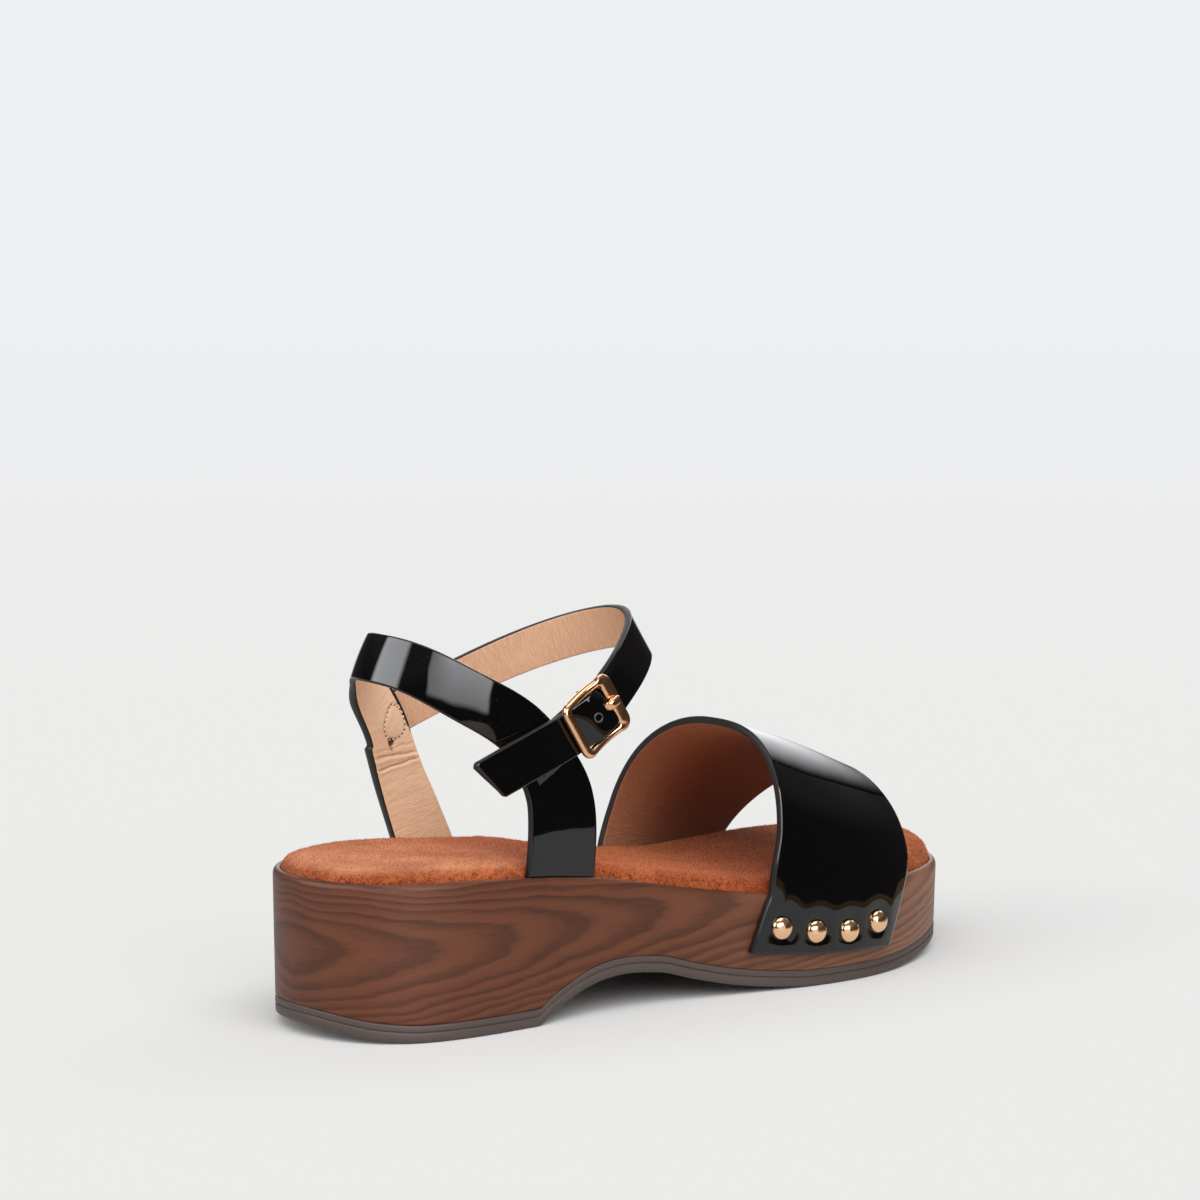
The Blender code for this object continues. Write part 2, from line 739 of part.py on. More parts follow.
def make_studs(vamp, platform):
    for side, outer_side in (("outer", True), ("inner", False)):
        for number, (x, z) in enumerate(STUDS, 1):
            out = wall_way(x, outer_side)
            seat = Vector((x, wall_y(x, outer_side), z)) + (2 * GAP + LEATHER) * out
            lathe(f"stud_{side}_{number}", stud_profile(), seat, out, STUD_SIDES, "metal")
            hole = [(NAIL_WIDE / 2 + GAP, -NAIL_LONG - GAP), (NAIL_WIDE / 2 + GAP, STUD_HIGH)]
            drill = lathe(f"drill_{side}_{number}", hole, seat, out, DRILL_SIDES, "metal")
            join_by(vamp, drill, "DIFFERENCE")
            join_by(platform, drill, "DIFFERENCE")


def centre_origin():
    """Scale to metres and put the origin under the middle of the shoe's box."""
    bpy.context.view_layer.update()
    shown = [o for o in SHOE.children if not o.hide_render]
    corners = np.array([v.co for o in shown for v in o.data.vertices])
    middle = (corners.min(axis=0) + corners.max(axis=0)) / 2
    SHOE.scale = (MM, MM, MM)
    SHOE.location = (-middle[0] * MM, -middle[1] * MM, 0)


make_outsole()
platform = make_platform()
insole = make_insole()
vamp = make_vamp()
make_straps(strap_seat())
for foot in (slice(0, FOOT_STATIONS), slice(-FOOT_STATIONS, None)):
    notch = ribbon("strap_notch", HEEL_STRAP, HEEL_STATIONS, foot, GAP)
    join_by(insole, notch, "DIFFERENCE")
make_frame()
make_prong()
make_studs(vamp, platform)
centre_origin()
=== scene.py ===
# %% [markdown]
# # A flatform sandal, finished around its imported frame
# The frame holds the plain solids of a right shoe: outsole, platform, insole, vamp band, straps, buckle
# and studs. Each cell below makes one of those pieces again with its fine shape and its finish, in the
# same place, and hides the plain solid behind it.

# %% Load the frame
import math

import bmesh
import bpy
import numpy as np
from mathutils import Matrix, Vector, noise


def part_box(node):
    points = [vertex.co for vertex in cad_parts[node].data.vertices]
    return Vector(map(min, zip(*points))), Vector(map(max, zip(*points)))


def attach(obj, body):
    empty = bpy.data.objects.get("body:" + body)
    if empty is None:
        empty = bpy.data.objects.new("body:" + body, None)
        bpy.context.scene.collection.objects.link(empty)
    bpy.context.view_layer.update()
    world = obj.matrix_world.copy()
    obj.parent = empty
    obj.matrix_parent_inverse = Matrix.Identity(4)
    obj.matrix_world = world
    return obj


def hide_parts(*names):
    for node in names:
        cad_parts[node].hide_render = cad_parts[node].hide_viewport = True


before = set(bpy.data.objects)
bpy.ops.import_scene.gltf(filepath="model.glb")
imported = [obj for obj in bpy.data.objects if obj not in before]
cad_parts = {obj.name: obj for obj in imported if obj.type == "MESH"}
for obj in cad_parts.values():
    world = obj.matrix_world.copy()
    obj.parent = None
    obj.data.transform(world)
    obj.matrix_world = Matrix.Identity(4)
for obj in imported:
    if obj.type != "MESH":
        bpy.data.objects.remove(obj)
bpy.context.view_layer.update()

# %% [markdown]
# ## Millimetres from the back of the heel
# A shoemaker measures a last from the back of the heel: x to the toe, y to the inner side of the foot,
# z up. Working in those numbers keeps the tables short and readable. One function moves the finished
# points into the frame, so every object can stay at the origin, unturned and unscaled.

# %% From the heel to the frame
HEEL_BACK = np.array((-126.005, 1.28, 0.0))
MM = 0.001


def to_frame(points):
    return (np.asarray(points, float) + HEEL_BACK) * MM


low, high = (np.array(corner) / MM - HEEL_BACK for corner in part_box("platform"))
print("platform in heel millimetres", low.round(1), high.round(1))

# %% [markdown]
# ## Curves through short tables
# The shape of the last lives in a few tables. `read` gives one column at any place without adding humps
# between the rows; `smooth_path` runs a springy curve through points in space, as a strap would. A few
# small helpers, such as a ramp, a bell and soft noise, shape everything that is pressed or creased.

# %% Table curves


def travelled(path):
    """Distance along a path at each of its points."""
    return np.r_[0, np.cumsum(np.linalg.norm(np.diff(path, axis=0), axis=1))]


def unit(vectors):
    return vectors / np.linalg.norm(vectors, axis=-1, keepdims=True)


def ramp(value, start, end):
    """0 at start, 1 at end and straight between; end may be below start."""
    return np.clip((value - start) / (end - start), 0, 1)


def bell(value, wide):
    return np.exp(-(value / wide) ** 2)


def waves(points, size, amount):
    """Soft noise over points, with lumps of about one size."""
    flat = (points / size).reshape(-1, 3)
    return amount * np.array([noise.noise(Vector(p)) for p in flat]).reshape(points.shape[:-1])


def slopes(knots, values):
    step = np.diff(knots)
    rise = np.diff(values) / step
    found = np.zeros(len(knots))
    found[0] = rise[0]
    found[-1] = rise[-1]
    for i in range(1, len(knots) - 1):
        if rise[i - 1] * rise[i] > 0:
            ahead = 2 * step[i] + step[i - 1]
            behind = step[i] + 2 * step[i - 1]
            found[i] = (ahead + behind) / (ahead / rise[i - 1] + behind / rise[i])
    return found


def read(table, column, at):
    knots = np.array([row[0] for row in table], float)
    values = np.array([row[column] for row in table], float)
    slope = slopes(knots, values)
    at = np.clip(at, knots[0], knots[-1])
    i = np.clip(np.searchsorted(knots, at) - 1, 0, len(knots) - 2)
    step = knots[i + 1] - knots[i]
    t = (at - knots[i]) / step
    start = values[i] * (1 + 2 * t) * (1 - t) ** 2 + slope[i] * step * t * (1 - t) ** 2
    end = values[i + 1] * t * t * (3 - 2 * t) - slope[i + 1] * step * t * t * (1 - t)
    return start + end


def smooth_path(rows, at):
    """Values, ways and places along; at is a count of even steps, or the shares of the length to use."""
    rows = np.array(rows, float)
    step = np.linalg.norm(np.diff(rows[:, :3], axis=0), axis=1)
    knots = np.r_[0, np.cumsum(step)]
    n = len(rows)
    system = np.eye(n)
    bend_of = np.zeros_like(rows)
    for i in range(1, n - 1):
        system[i, i - 1:i + 2] = step[i - 1], 2 * (step[i - 1] + step[i]), step[i]
        bend_of[i] = 6 * ((rows[i + 1] - rows[i]) / step[i] - (rows[i] - rows[i - 1]) / step[i - 1])
    bend = np.linalg.solve(system, bend_of)
    at = knots[-1] * (np.linspace(0, 1, at) if isinstance(at, int) else np.asarray(at))
    i = np.clip(np.searchsorted(knots, at) - 1, 0, n - 2)
    h = step[i][:, None]
    a = (knots[i + 1] - at)[:, None]
    b = (at - knots[i])[:, None]
    first, second = bend[i], bend[i + 1]
    below = rows[i] / h - first * h / 6
    above = rows[i + 1] / h - second * h / 6
    values = first * a ** 3 / (6 * h) + second * b ** 3 / (6 * h) + below * a + above * b
    ways = -first * a ** 2 / (2 * h) + second * b ** 2 / (2 * h) - below + above
    return values, ways[:, :3], at


# %% [markdown]
# ## Writing a finish as a sum
# Nodes are easier to follow as arithmetic. `Wire` wraps one socket of a node tree: plus, minus, times and
# divide add Math nodes, and `node` adds any other node. A finish then reads like a recipe.

# %% Wires


class Wire:
    def __init__(self, tree, socket):
        self.tree = tree
        self.socket = socket

    def node(self, kind, settings=None, values=None, output=0):
        made = self.tree.nodes.new(kind if "Node" in kind else "ShaderNode" + kind)
        for key, setting in (settings or {}).items():
            setattr(made, key, setting)
        for key, value in (values or {}).items():
            if isinstance(value, Wire):
                self.tree.links.new(value.socket, made.inputs[key])
            else:
                made.inputs[key].default_value = value
        return Wire(self.tree, made.outputs[output])

    def also(self, output):
        """Another output of the same node."""
        return Wire(self.tree, self.socket.node.outputs[output])

    def math(self, operation, first, second=0.0):
        return self.node("Math", {"operation": operation}, {0: first, 1: second})

    def __add__(self, other):
        return self.math("ADD", self, other)

    __radd__ = __add__

    def __sub__(self, other):
        return self.math("SUBTRACT", self, other)

    def __rsub__(self, other):
        return self.math("SUBTRACT", other, self)

    def __mul__(self, other):
        return self.math("MULTIPLY", self, other)

    __rmul__ = __mul__

    def __truediv__(self, other):
        return self.math("DIVIDE", self, other)

    def smooth(self, start, end):
        """0 below start, 1 above end, with a soft step between."""
        return self.node("MapRange", {"interpolation_type": "SMOOTHSTEP"}, {0: self, 1: start, 2: end})

    def mix(self, colour, other):
        """From colour, where this is 0, to other, where it is 1."""
        def paint(c):
            return c if isinstance(c, Wire) else (*c, 1)
        values = {0: self, 6: paint(colour), 7: paint(other)}
        return self.node("Mix", {"data_type": "RGBA"}, values, 2)

    def axis(self, number):
        return self.node("SeparateXYZ", {}, {0: self}, number)

    def length(self):
        return self.node("VectorMath", {"operation": "LENGTH"}, {0: self}, "Value")

    def stored(self, name):
        """A number kept with each point of the mesh."""
        return self.node("Attribute", {"attribute_name": name}, output="Fac")

    def stretched(self, *scale):
        return self.node("Mapping", {}, {"Vector": self, "Scale": scale})

    def noise(self, scale, detail=2.0, roughness=0.5, distortion=0.0):
        values = {"Vector": self, "Scale": scale, "Detail": detail, "Roughness": roughness}
        return self.node("TexNoise", {}, {**values, "Distortion": distortion})

    def bump(self, height, distance, strength=1.0):
        return self.node("Bump", {}, {"Height": height, "Distance": distance, "Strength": strength})


def new_finish(name, **numbers):
    """A material, its shader, and wires for the place on the object and on its own map."""
    material = bpy.data.materials.new(name)
    material.use_nodes = True
    tree = material.node_tree
    shader = tree.nodes["Principled BSDF"]
    for key, number in numbers.items():
        shader.inputs[key.replace("_", " ")].default_value = number
    place = tree.nodes.new("ShaderNodeTexCoord")
    return material, shader, Wire(tree, place.outputs["Object"]), Wire(tree, place.outputs["UV"])


def feed(shader, **wires):
    for key, wire in wires.items():
        wire.tree.links.new(wire.socket, shader.inputs[key.replace("_", " ")])


# %% [markdown]
# ## From points to a piece
# Every piece is built from points and faces worked out in the cells below. `piece` makes the mesh in the
# frame, closes its poles, turns its faces outwards and shades it smooth. `seat` then hangs it from the
# root and hides the plain solid that it stands for.

# %% Mesh helpers
SAME_PLACE = 1e-7


def outward(mesh, merge=0.0):
    """Turn every face outwards, after joining points closer than merge."""
    body = bmesh.new()
    body.from_mesh(mesh)
    if merge:
        bmesh.ops.remove_doubles(body, verts=body.verts, dist=merge)
    bmesh.ops.recalc_face_normals(body, faces=body.faces)
    body.to_mesh(mesh)
    body.free()


def placed(name, data):
    made = bpy.data.objects.new(name, data)
    bpy.context.collection.objects.link(made)
    return made


def piece(name, points, faces, finishes, kinds=None, uv=None, painted_shade=None):
    mesh = bpy.data.meshes.new(name)
    mesh.from_pydata(to_frame(points).tolist(), [], [[int(k) for k in face] for face in faces])
    for finish in finishes:
        mesh.materials.append(finish)
    if kinds is not None:
        mesh.polygons.foreach_set("material_index", np.asarray(kinds, dtype=np.int32))
    if uv is not None:
        corners = np.zeros(len(mesh.loops), dtype=np.int32)
        mesh.loops.foreach_get("vertex_index", corners)
        layer = mesh.uv_layers.new(name="face_map")
        layer.data.foreach_set("uv", np.asarray(uv, float)[corners].ravel())
    # A stored share of painted shade for each point, which darkens the finish there.
    if painted_shade is not None:
        mesh.attributes.new("painted_shade", "FLOAT", "POINT").data.foreach_set("value", painted_shade)
    outward(mesh, SAME_PLACE)
    mesh.shade_smooth()
    print(name, len(mesh.polygons), "faces")
    return placed(name, mesh)


def seat(made, slot, *nodes):
    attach(made, "root")
    if nodes:
        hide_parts(*nodes)


def ring_faces(count, size):
    quads = []
    for here in range(0, (count - 1) * size, size):
        for i in range(size):
            j = (i + 1) % size
            quads.append((here + i, here + j, here + size + j, here + size + i))
    return quads


def grid_row(row, columns):
    """Quads between one row of a grid and the next."""
    first = row * columns
    return [(k, k + 1, k + columns + 1, k + columns) for k in range(first, first + columns - 1)]


# %% [markdown]
# ## The outline of the last
# The sole's outline is a closed curve through half widths given at thirteen places. Rings of points
# follow it round the shoe, moved inwards by an inset and lifted to a height, and a stack of rings makes
# a wall with any profile.

# %% Outline and rings
# Distance from the heel, half width on the outer side, half width on the inner side
OUTLINE = (
    (2.5, 12.6, 13.1),
    (9.0, 23.6, 23.6),
    (22.0, 32.6, 32.1),
    (42.0, 36.6, 35.1),
    (72.0, 36.6, 34.6),
    (105.0, 37.6, 35.6),
    (135.0, 41.1, 39.1),
    (160.0, 45.1, 42.8),
    (182.0, 46.6, 44.1),
    (202.0, 43.6, 42.9),
    (221.0, 36.1, 38.1),
    (238.0, 24.1, 29.3),
    (248.0, 10.1, 18.1),
)
HEEL_TIP = (0.0, 0.5)
TOE_TIP = (252.0, 3.5)
HEEL_ROUND = 24
TOE_ROUND = 30
HEEL_TUCK = 0.6
TOE_TUCK = 1.2
TUCK_POWER = 8
LOOP_POINTS = 1600
LOOP_WRAP = 4


def outline_loop():
    outer = [(x, -wide, 0) for x, wide, _ in OUTLINE]
    inner = [(x, wide, 0) for x, _, wide in OUTLINE]
    rows = [(*HEEL_TIP, 0)] + outer + [(*TOE_TIP, 0)] + inner[::-1]
    path, _, _ = smooth_path(rows[-LOOP_WRAP:] + rows + rows[:LOOP_WRAP + 1], LOOP_POINTS)
    quarter = LOOP_POINTS // 4
    away = np.linalg.norm(path[:, :2] - HEEL_TIP, axis=1)
    return path[np.argmin(away[:quarter]):LOOP_POINTS - quarter + np.argmin(away[-quarter:]), :2]


LOOP = outline_loop()


def inset_loop(inset):
    along = unit(np.roll(LOOP, -1, axis=0) - np.roll(LOOP, 1, axis=0))
    return LOOP + inset * np.c_[-along[:, 1], along[:, 0]]


def side_widths(loop):
    heel = np.argmin(loop[:, 0])
    loop = np.roll(loop, -heel, axis=0)
    toe = np.argmax(loop[:, 0])
    return loop[:toe + 1], np.r_[loop[toe:], loop[:1]][::-1]


def stations(middle_step, heel_count, toe_count):
    """Shares of the length, closer together where heel and toe are round."""
    length = TOE_TIP[0]
    heel_round, toe_round = (1 - np.cos(np.linspace(0, math.pi / 2, n)) for n in (heel_count, toe_count))
    middle = np.arange(HEEL_ROUND + middle_step, length - TOE_ROUND, middle_step)
    spots = np.r_[HEEL_ROUND * heel_round, middle, length - TOE_ROUND * toe_round]
    return np.unique(spots.round(4)) / length


WALL_STATIONS = stations(1.6, 22, 26)


def sides_at(inset, shares):
    """Places along the shoe, and where the outer and the inner side of the inset outline are there."""
    outer, inner = side_widths(inset_loop(inset))
    x = outer[0, 0] + shares * (outer[-1, 0] - outer[0, 0])
    return x, np.interp(x, *outer.T), np.interp(x, *inner.T)


def ring(inset, height, tuck=0.0):
    """Points round the shoe; tuck draws the ring in at heel and toe, as the wall leans there."""
    x, outer_y, inner_y = sides_at(inset, WALL_STATIONS)
    z = height(x)
    heel_tuck = tuck * HEEL_TUCK * (1 - WALL_STATIONS) ** TUCK_POWER
    toe_tuck = tuck * TOE_TUCK * WALL_STATIONS ** TUCK_POWER
    x = x + heel_tuck - toe_tuck
    return np.r_[np.c_[x, outer_y, z], np.c_[x, inner_y, z][1:-1][::-1]]


def ladder(first, size):
    last = len(WALL_STATIONS) - 1
    faces = [(first, first + 1, first + size - 1)]
    for i in range(1, last - 1):
        faces.append((first + i, first + i + 1, first + size - i - 1, first + size - i))
    faces.append((first + last - 1, first + last, first + last + 1))
    return faces


def girdle_map(points, size):
    """Map of a wall in decimetres: way round from the heel on each side, and height."""
    ring_points = points[:size]
    last = len(WALL_STATIONS)
    outer = ring_points[:last]
    inner = np.r_[ring_points[:1], ring_points[last - 1:][::-1]]
    outer_far, inner_far = travelled(outer[:, :2]), travelled(inner[:, :2])
    inner_far *= outer_far[-1] / inner_far[-1]
    around = np.r_[outer_far, inner_far[1:-1][::-1]]
    return np.c_[np.tile(around, len(points) // size), points[:, 2]] / 100


def stacked(name, rings, finish):
    size = len(rings[0])
    points = np.concatenate(rings)
    faces = ring_faces(len(rings), size) + ladder(0, size) + ladder((len(rings) - 1) * size, size)
    return piece(name, points, faces, [finish], uv=girdle_map(points, size))


print("outline", len(LOOP), "points,", len(WALL_STATIONS), "stations")

# %% [markdown]
# ## Outsole
# A moulded rubber sole about 5 mm thick: flat under the heel, a breast, an arch, flat under the ball and
# a little toe spring. Its edge is in two steps with a fine groove between them, which catches a thin
# line of light, so the groove is real geometry in the wall's profile.

# %% Rubber and outsole
# Side view from the heel: distance, height of the underside
UNDERSIDE = (
    (0, 4), (12, 1.1), (25, 0), (63, 0), (67, 2.4), (72, 5), (80, 8.6), (88, 10.8), (96, 11.5), (108, 10.5),
    (122, 6.7), (137, 3.2), (151, 1.2), (166, 0), (185, 0), (200, 0.33), (215, 1.5), (235, 3.5), (252, 4.1),
)
SOLE_THICK = 5.3
# Edge of the outsole from the ground up: inset, height
SOLE_EDGE = (
    (1.1, 0), (0.55, 0.12), (0.2, 0.45), (0.02, 1), (0, 1.9), (0, 2.75), (0.06, 2.95),
    (0.38, 3.1), (0.38, 3.25), (0, 3.4), (-0.06, 3.65), (-0.06, 4.9), (0.02, 5.2), (0.3, 5.3),
)


def underside(x):
    return read(UNDERSIDE, 1, x)


def rubber_finish():
    material, shader, place, _ = new_finish("sole_rubber", Roughness=0.5)
    cloud = place.noise(60, 3)
    speck = place.noise(900, 2)
    feed(shader, Base_Color=(cloud * 0.7 + speck * 0.3).mix((0.050, 0.034, 0.029), (0.084, 0.056, 0.047)))
    feed(shader, Roughness=0.42 + 0.22 * cloud)
    feed(shader, Normal=place.bump(place.noise(1400, 2), 0.0001, 0.35))
    return material


rubber = rubber_finish()
outsole_rings = [ring(inset, lambda x, up=up: underside(x) + up, 1.0) for inset, up in SOLE_EDGE]
outsole = stacked("outsole_rubber", outsole_rings, rubber)
seat(outsole, "rubber", "outsole")

# %% [markdown]
# ## Platform
# A light block wrapped in a printed wood skin. Its grain is that of a plain-sawn board: growth rings cut
# at a slant, which show as nested arrow heads pointing to the toe. Distance from a slanted axis gives
# those arrow heads, and the wall's own map lets the print run round the heel as the wrap does.

# %% Wood-look skin and platform
# Side view of the bed: distance from the heel, height of the crease at the rim, rise of the insole above it
FOOTBED = (
    (0.0, 47.0, 3.2),
    (35.0, 46.4, 3.4),
    (59.0, 44.9, 3.8),
    (85.0, 42.2, 4.0),
    (115.0, 36.4, 4.0),
    (144.0, 31.6, 4.1),
    (165.0, 29.4, 4.4),
    (210.0, 30.2, 5.6),
    (252.0, 29.8, 6.4),
)
BED_DEEP = 2.0
RIM_WIDE = 2.4
# Rolled rim from the wall to the bed: inset, height over the crease
RIM = ((0, -2.4), (0.05, -1.7), (0.22, -1.05), (0.55, -0.5), (1, -0.14), (1.5, 0), (2, -0.1), (2.4, -0.5))
WALL_SHARES = (0.0, 0.02, 0.25, 0.5, 0.75)
SOLE_GAP = 0.04
FOOT_INSET = 0.1


def crease(x):
    return read(FOOTBED, 1, x)


def wood_finish():
    material, shader, _, wall = new_finish("wood_look", Roughness=0.45, Specular_IOR_Level=0.30)
    around, up = wall.axis(0) * 100, wall.axis(1) * 100
    sway = wall.stretched(1.0, 2.4, 1).noise(3.0, 2) - 0.5
    ripple = wall.stretched(1.0, 6.0, 1).noise(6.0, 3) - 0.5
    fibre = wall.stretched(1.0, 22.0, 1).noise(13, 3, 0.6) - 0.5
    flame = wall.stretched(0.8, 2.2, 1).noise(5.0, 2) - 0.5
    off = up - 26.5 - 0.025 * around + 4.5 * sway
    blunt = 0.28 + 0.14 * off.smooth(-2, 2)
    rings = (around + 2 + off * off * blunt) / 27 + 0.5 * ripple + 0.30 * fibre
    phase = rings.math("FRACT", rings)
    late = phase.smooth(0.1, 0.85) * (1 - phase.smooth(0.80, 1.0))
    lines = wall.node("CombineXYZ", {}, {0: 2.6 * rings, 1: around / 70, 2: 0.0})
    strands = lines.noise(1.0, 3, 0.6) - 0.5
    dark = 0.50 * late + 0.34 * fibre + 0.36 * flame + 0.60 * strands
    grain = dark.smooth(-0.25, 0.85)
    tone = grain.mix((0.143, 0.0425, 0.0165), (0.051, 0.0132, 0.0047))
    # Painted sheen: the print turns paler towards the toe, for the glare on that side.
    toe_sheen = grain.mix((0.310, 0.152, 0.090), (0.145, 0.062, 0.034))
    feed(shader, Base_Color=(0.9 * around.smooth(125, 270)).mix(tone, toe_sheen))
    feed(shader, Roughness=0.48 + 0.16 * fibre)
    feed(shader, Normal=wall.bump(dark, 0.00012, 0.3))
    return material


wood = wood_finish()
wall_rings = []
for share in WALL_SHARES:
    def wall_height(x, share=share):
        foot = underside(x) + SOLE_THICK + SOLE_GAP
        return foot + share * (crease(x) + RIM[0][1] - foot)
    wall_rings.append(ring(FOOT_INSET if share == 0 else 0.0, wall_height, 1 - share))
for inset, up in RIM:
    wall_rings.append(ring(inset, lambda x, up=up: crease(x) + up))
wall_rings.append(ring(RIM_WIDE, lambda x: crease(x) - BED_DEEP))
platform = stacked("platform_wood", wall_rings, wood)
seat(platform, "wood", "platform")

# %% [markdown]
# ## Insole
# A foam pad covered in rust suede, standing 3 to 7 mm above the rim with a soft rounded shoulder. A cloth
# simulation would round it too, but the pad is glued down and follows the last, so its height is worked
# out from the distance to its edge, then pushed about a little by noise, as suede over foam is. Where the
# straps go down into the sole the pad gives way.

# %% Suede and insole pad
PAD_GAP = 0.1
PAD_EDGE = RIM_WIDE + PAD_GAP
# Shoulder of the pad: distance from the edge, share of the rise
SHOULDER = (
    (0, 0), (0.35, 0.26), (0.9, 0.52), (1.8, 0.74), (3.2, 0.90), (5.5, 0.985), (9, 1), (60, 1),
)
PAD_COLUMNS = 72
POINTS_AT_ONCE = 2000
# Places where a strap foot goes down: side, from x, to x
STRAP_FEET = ((-1, 59.6, 86.6), (1, 60.6, 83.8))
RECESS_DEEP = 2.45
RECESS_EASE = 0.9


def recess(x, side):
    deep = np.zeros_like(x)
    for foot_side, start, end in STRAP_FEET:
        if foot_side == side:
            inside = ramp(x, start, start + RECESS_EASE) * ramp(x, end, end - RECESS_EASE)
            deep = deep + RECESS_DEEP * inside * inside * (3 - 2 * inside)
    return deep


def suede_finish():
    material, shader, place, _ = new_finish(
        "rust_suede", Roughness=0.95, Specular_IOR_Level=0.1,
        Sheen_Weight=0.14, Sheen_Roughness=0.5, Sheen_Tint=(1.0, 0.72, 0.52, 1),
    )
    nap = place.noise(1900, 2, 0.6)
    clump = place.noise(620, 3, 0.65)
    brushed = place.noise(52, 4, 0.65, 0.4)
    rubbed = place.noise(14, 2)
    # Painted shade: the stored mask makes grain and tips darker on the pad's sides.
    side = place.stored("painted_shade")
    grain = (0.5 * clump + 0.5 * nap).smooth(0.36, 0.60)
    pit = side.mix((0.33, 0.062, 0.017), (0.15, 0.026, 0.007))
    tip = side.mix((0.74, 0.212, 0.071), (0.53, 0.134, 0.042))
    tone = grain.mix(pit, tip)
    length = place.axis(0)
    # Painted sheen: the suede towards the heel is paler, as its nap catches the light.
    heel_sheen = (0 - length).smooth(0.03, 0.10)
    tone = (heel_sheen * (0.40 + 0.50 * brushed) * (1 - side)).mix(tone, (0.90, 0.46, 0.26))
    # Painted shade: the suede over the ball, under the vamp band, is darkened.
    vamp_shade = length.smooth(-0.01, 0.035) * (1 - length.smooth(0.06, 0.10))
    tone = (0.58 * vamp_shade).mix(tone, (0.22, 0.034, 0.008))
    shaded = brushed.smooth(0.30, 0.72).mix((0.72, 0.63, 0.56), (1.13, 1.11, 1.07))
    settings = {"data_type": "RGBA", "blend_type": "MULTIPLY"}
    feed(shader, Base_Color=tone.node("Mix", settings, {0: 1.0, 6: tone, 7: shaded}, 2))
    feed(shader, Roughness=0.9 + 0.1 * rubbed)
    feed(shader, Normal=place.bump(0.6 * clump + 0.4 * nap, 0.0008, 0.9))
    return material


def edge_distance(points, loop):
    found = np.empty(len(points))
    for start in range(0, len(points), POINTS_AT_ONCE):
        some = slice(start, start + POINTS_AT_ONCE)
        part = points[some, None, :] - loop[None, :, :]
        found[some] = np.sqrt((part ** 2).sum(axis=2)).min(axis=1)
    return found


def make_pad():
    x, outer_y, inner_y = sides_at(PAD_EDGE, stations(1.3, 30, 34))
    outer_y = outer_y + recess(x, -1)
    inner_y = inner_y - recess(x, 1)
    across = 0.5 - 0.5 * np.cos(np.linspace(0, math.pi, PAD_COLUMNS))
    y = outer_y[:, None] + (inner_y - outer_y)[:, None] * across
    grid = np.stack([np.repeat(x[:, None], PAD_COLUMNS, 1), y], axis=2).reshape(-1, 2)
    border = np.r_[np.c_[x, outer_y], np.c_[x, inner_y][::-1]]
    dense_border = np.linspace(border, np.roll(border, -1, axis=0), 4, endpoint=False).reshape(-1, 2)
    distance = edge_distance(grid, dense_border)
    rise = read(FOOTBED, 2, grid[:, 0]) * read(SHOULDER, 1, distance)
    crown = 0.5 * (1 - np.exp(-distance / 9))
    hollows = waves(np.c_[grid / (21, 15), np.full(len(grid), 0.3)], 1, 0.35)
    lumps = waves(np.c_[grid / 3.4, np.full(len(grid), 1.7)], 1, 0.10)
    height = crease(grid[:, 0]) - 0.35 + rise * 1.08 + crown + ramp(distance, 0, 1.5) * (hollows + lumps)
    top = np.c_[grid, height]
    foot = np.c_[grid, crease(grid[:, 0]) - BED_DEEP + PAD_GAP]
    count = len(grid)
    faces = []
    for r in range(len(x) - 1):
        for quad in grid_row(r, PAD_COLUMNS):
            faces += [quad, tuple(k + count for k in quad[::-1])]
        for here in (r * PAD_COLUMNS, (r + 1) * PAD_COLUMNS - 1):
            faces.append((here, here + PAD_COLUMNS, here + PAD_COLUMNS + count, here + count))
    # The mask is 1 at the pad's edge and paints shade on the pad's sides.
    side = bell(distance, 3.2)
    return piece("insole_pad", np.r_[top, foot], faces, [suede], painted_shade=np.r_[side, side])


suede = suede_finish()
insole = make_pad()
seat(insole, "suede", "insole")

# %% [markdown]
# ## Leather strips
# Every strap is the same sandwich: patent skin outside, tan lining inside, and a painted edge round the
# rim that bulges a little. `leather` takes the two faces as grids of points and adds that rim. Its map
# holds the place along and across the strap in decimetres, so wrinkles follow each bend.

# %% Leather and its finishes
EDGE_ROWS = 5
EDGE_BULGE = 0.30


def patent_finish():
    black = (0.0012, 0.0012, 0.0014, 1)
    material, shader, place, _ = new_finish("black_patent", Roughness=0.05, IOR=1.5, Base_Color=black)
    specks = place.noise(1100, 1).smooth(0.74, 0.79)
    smear = place.noise(45, 3)
    feed(shader, Roughness=0.035 + 0.05 * smear.smooth(0.45, 0.8) + 0.2 * specks)
    swell = place.noise(95, 1)
    feed(shader, Normal=place.bump(swell + 0.1 * specks, 0.0006, 0.12))
    return material


def lining_finish(name, dark, light, depth=0.0):
    material, shader, place, strip = new_finish(name, Roughness=0.55, Specular_IOR_Level=0.3)
    wrinkle = strip.stretched(26, 5, 1).noise(5.0, 4, 0.6, 0.5)
    pore = place.noise(1600, 2)
    stain = place.noise(30, 3)
    tone = (0.6 * wrinkle + 0.4 * stain).smooth(0.3, 0.7).mix(dark, light)
    # Painted shade: with depth above 0 the lining darkens across the strip, away from the vamp's rear edge.
    tone = (depth * strip.axis(1).smooth(0.04, 0.36)).mix(tone, (0.20, 0.060, 0.024))
    # Painted shade: the lining darkens where the mesh stores a share of shade, in its creases and folds.
    feed(shader, Base_Color=strip.stored("painted_shade").smooth(0, 1).mix(tone, (0.10, 0.03, 0.014)))
    feed(shader, Roughness=0.5 + 0.2 * pore)
    feed(shader, Normal=place.bump(wrinkle + 0.25 * pore, 0.0005, 0.75))
    return material


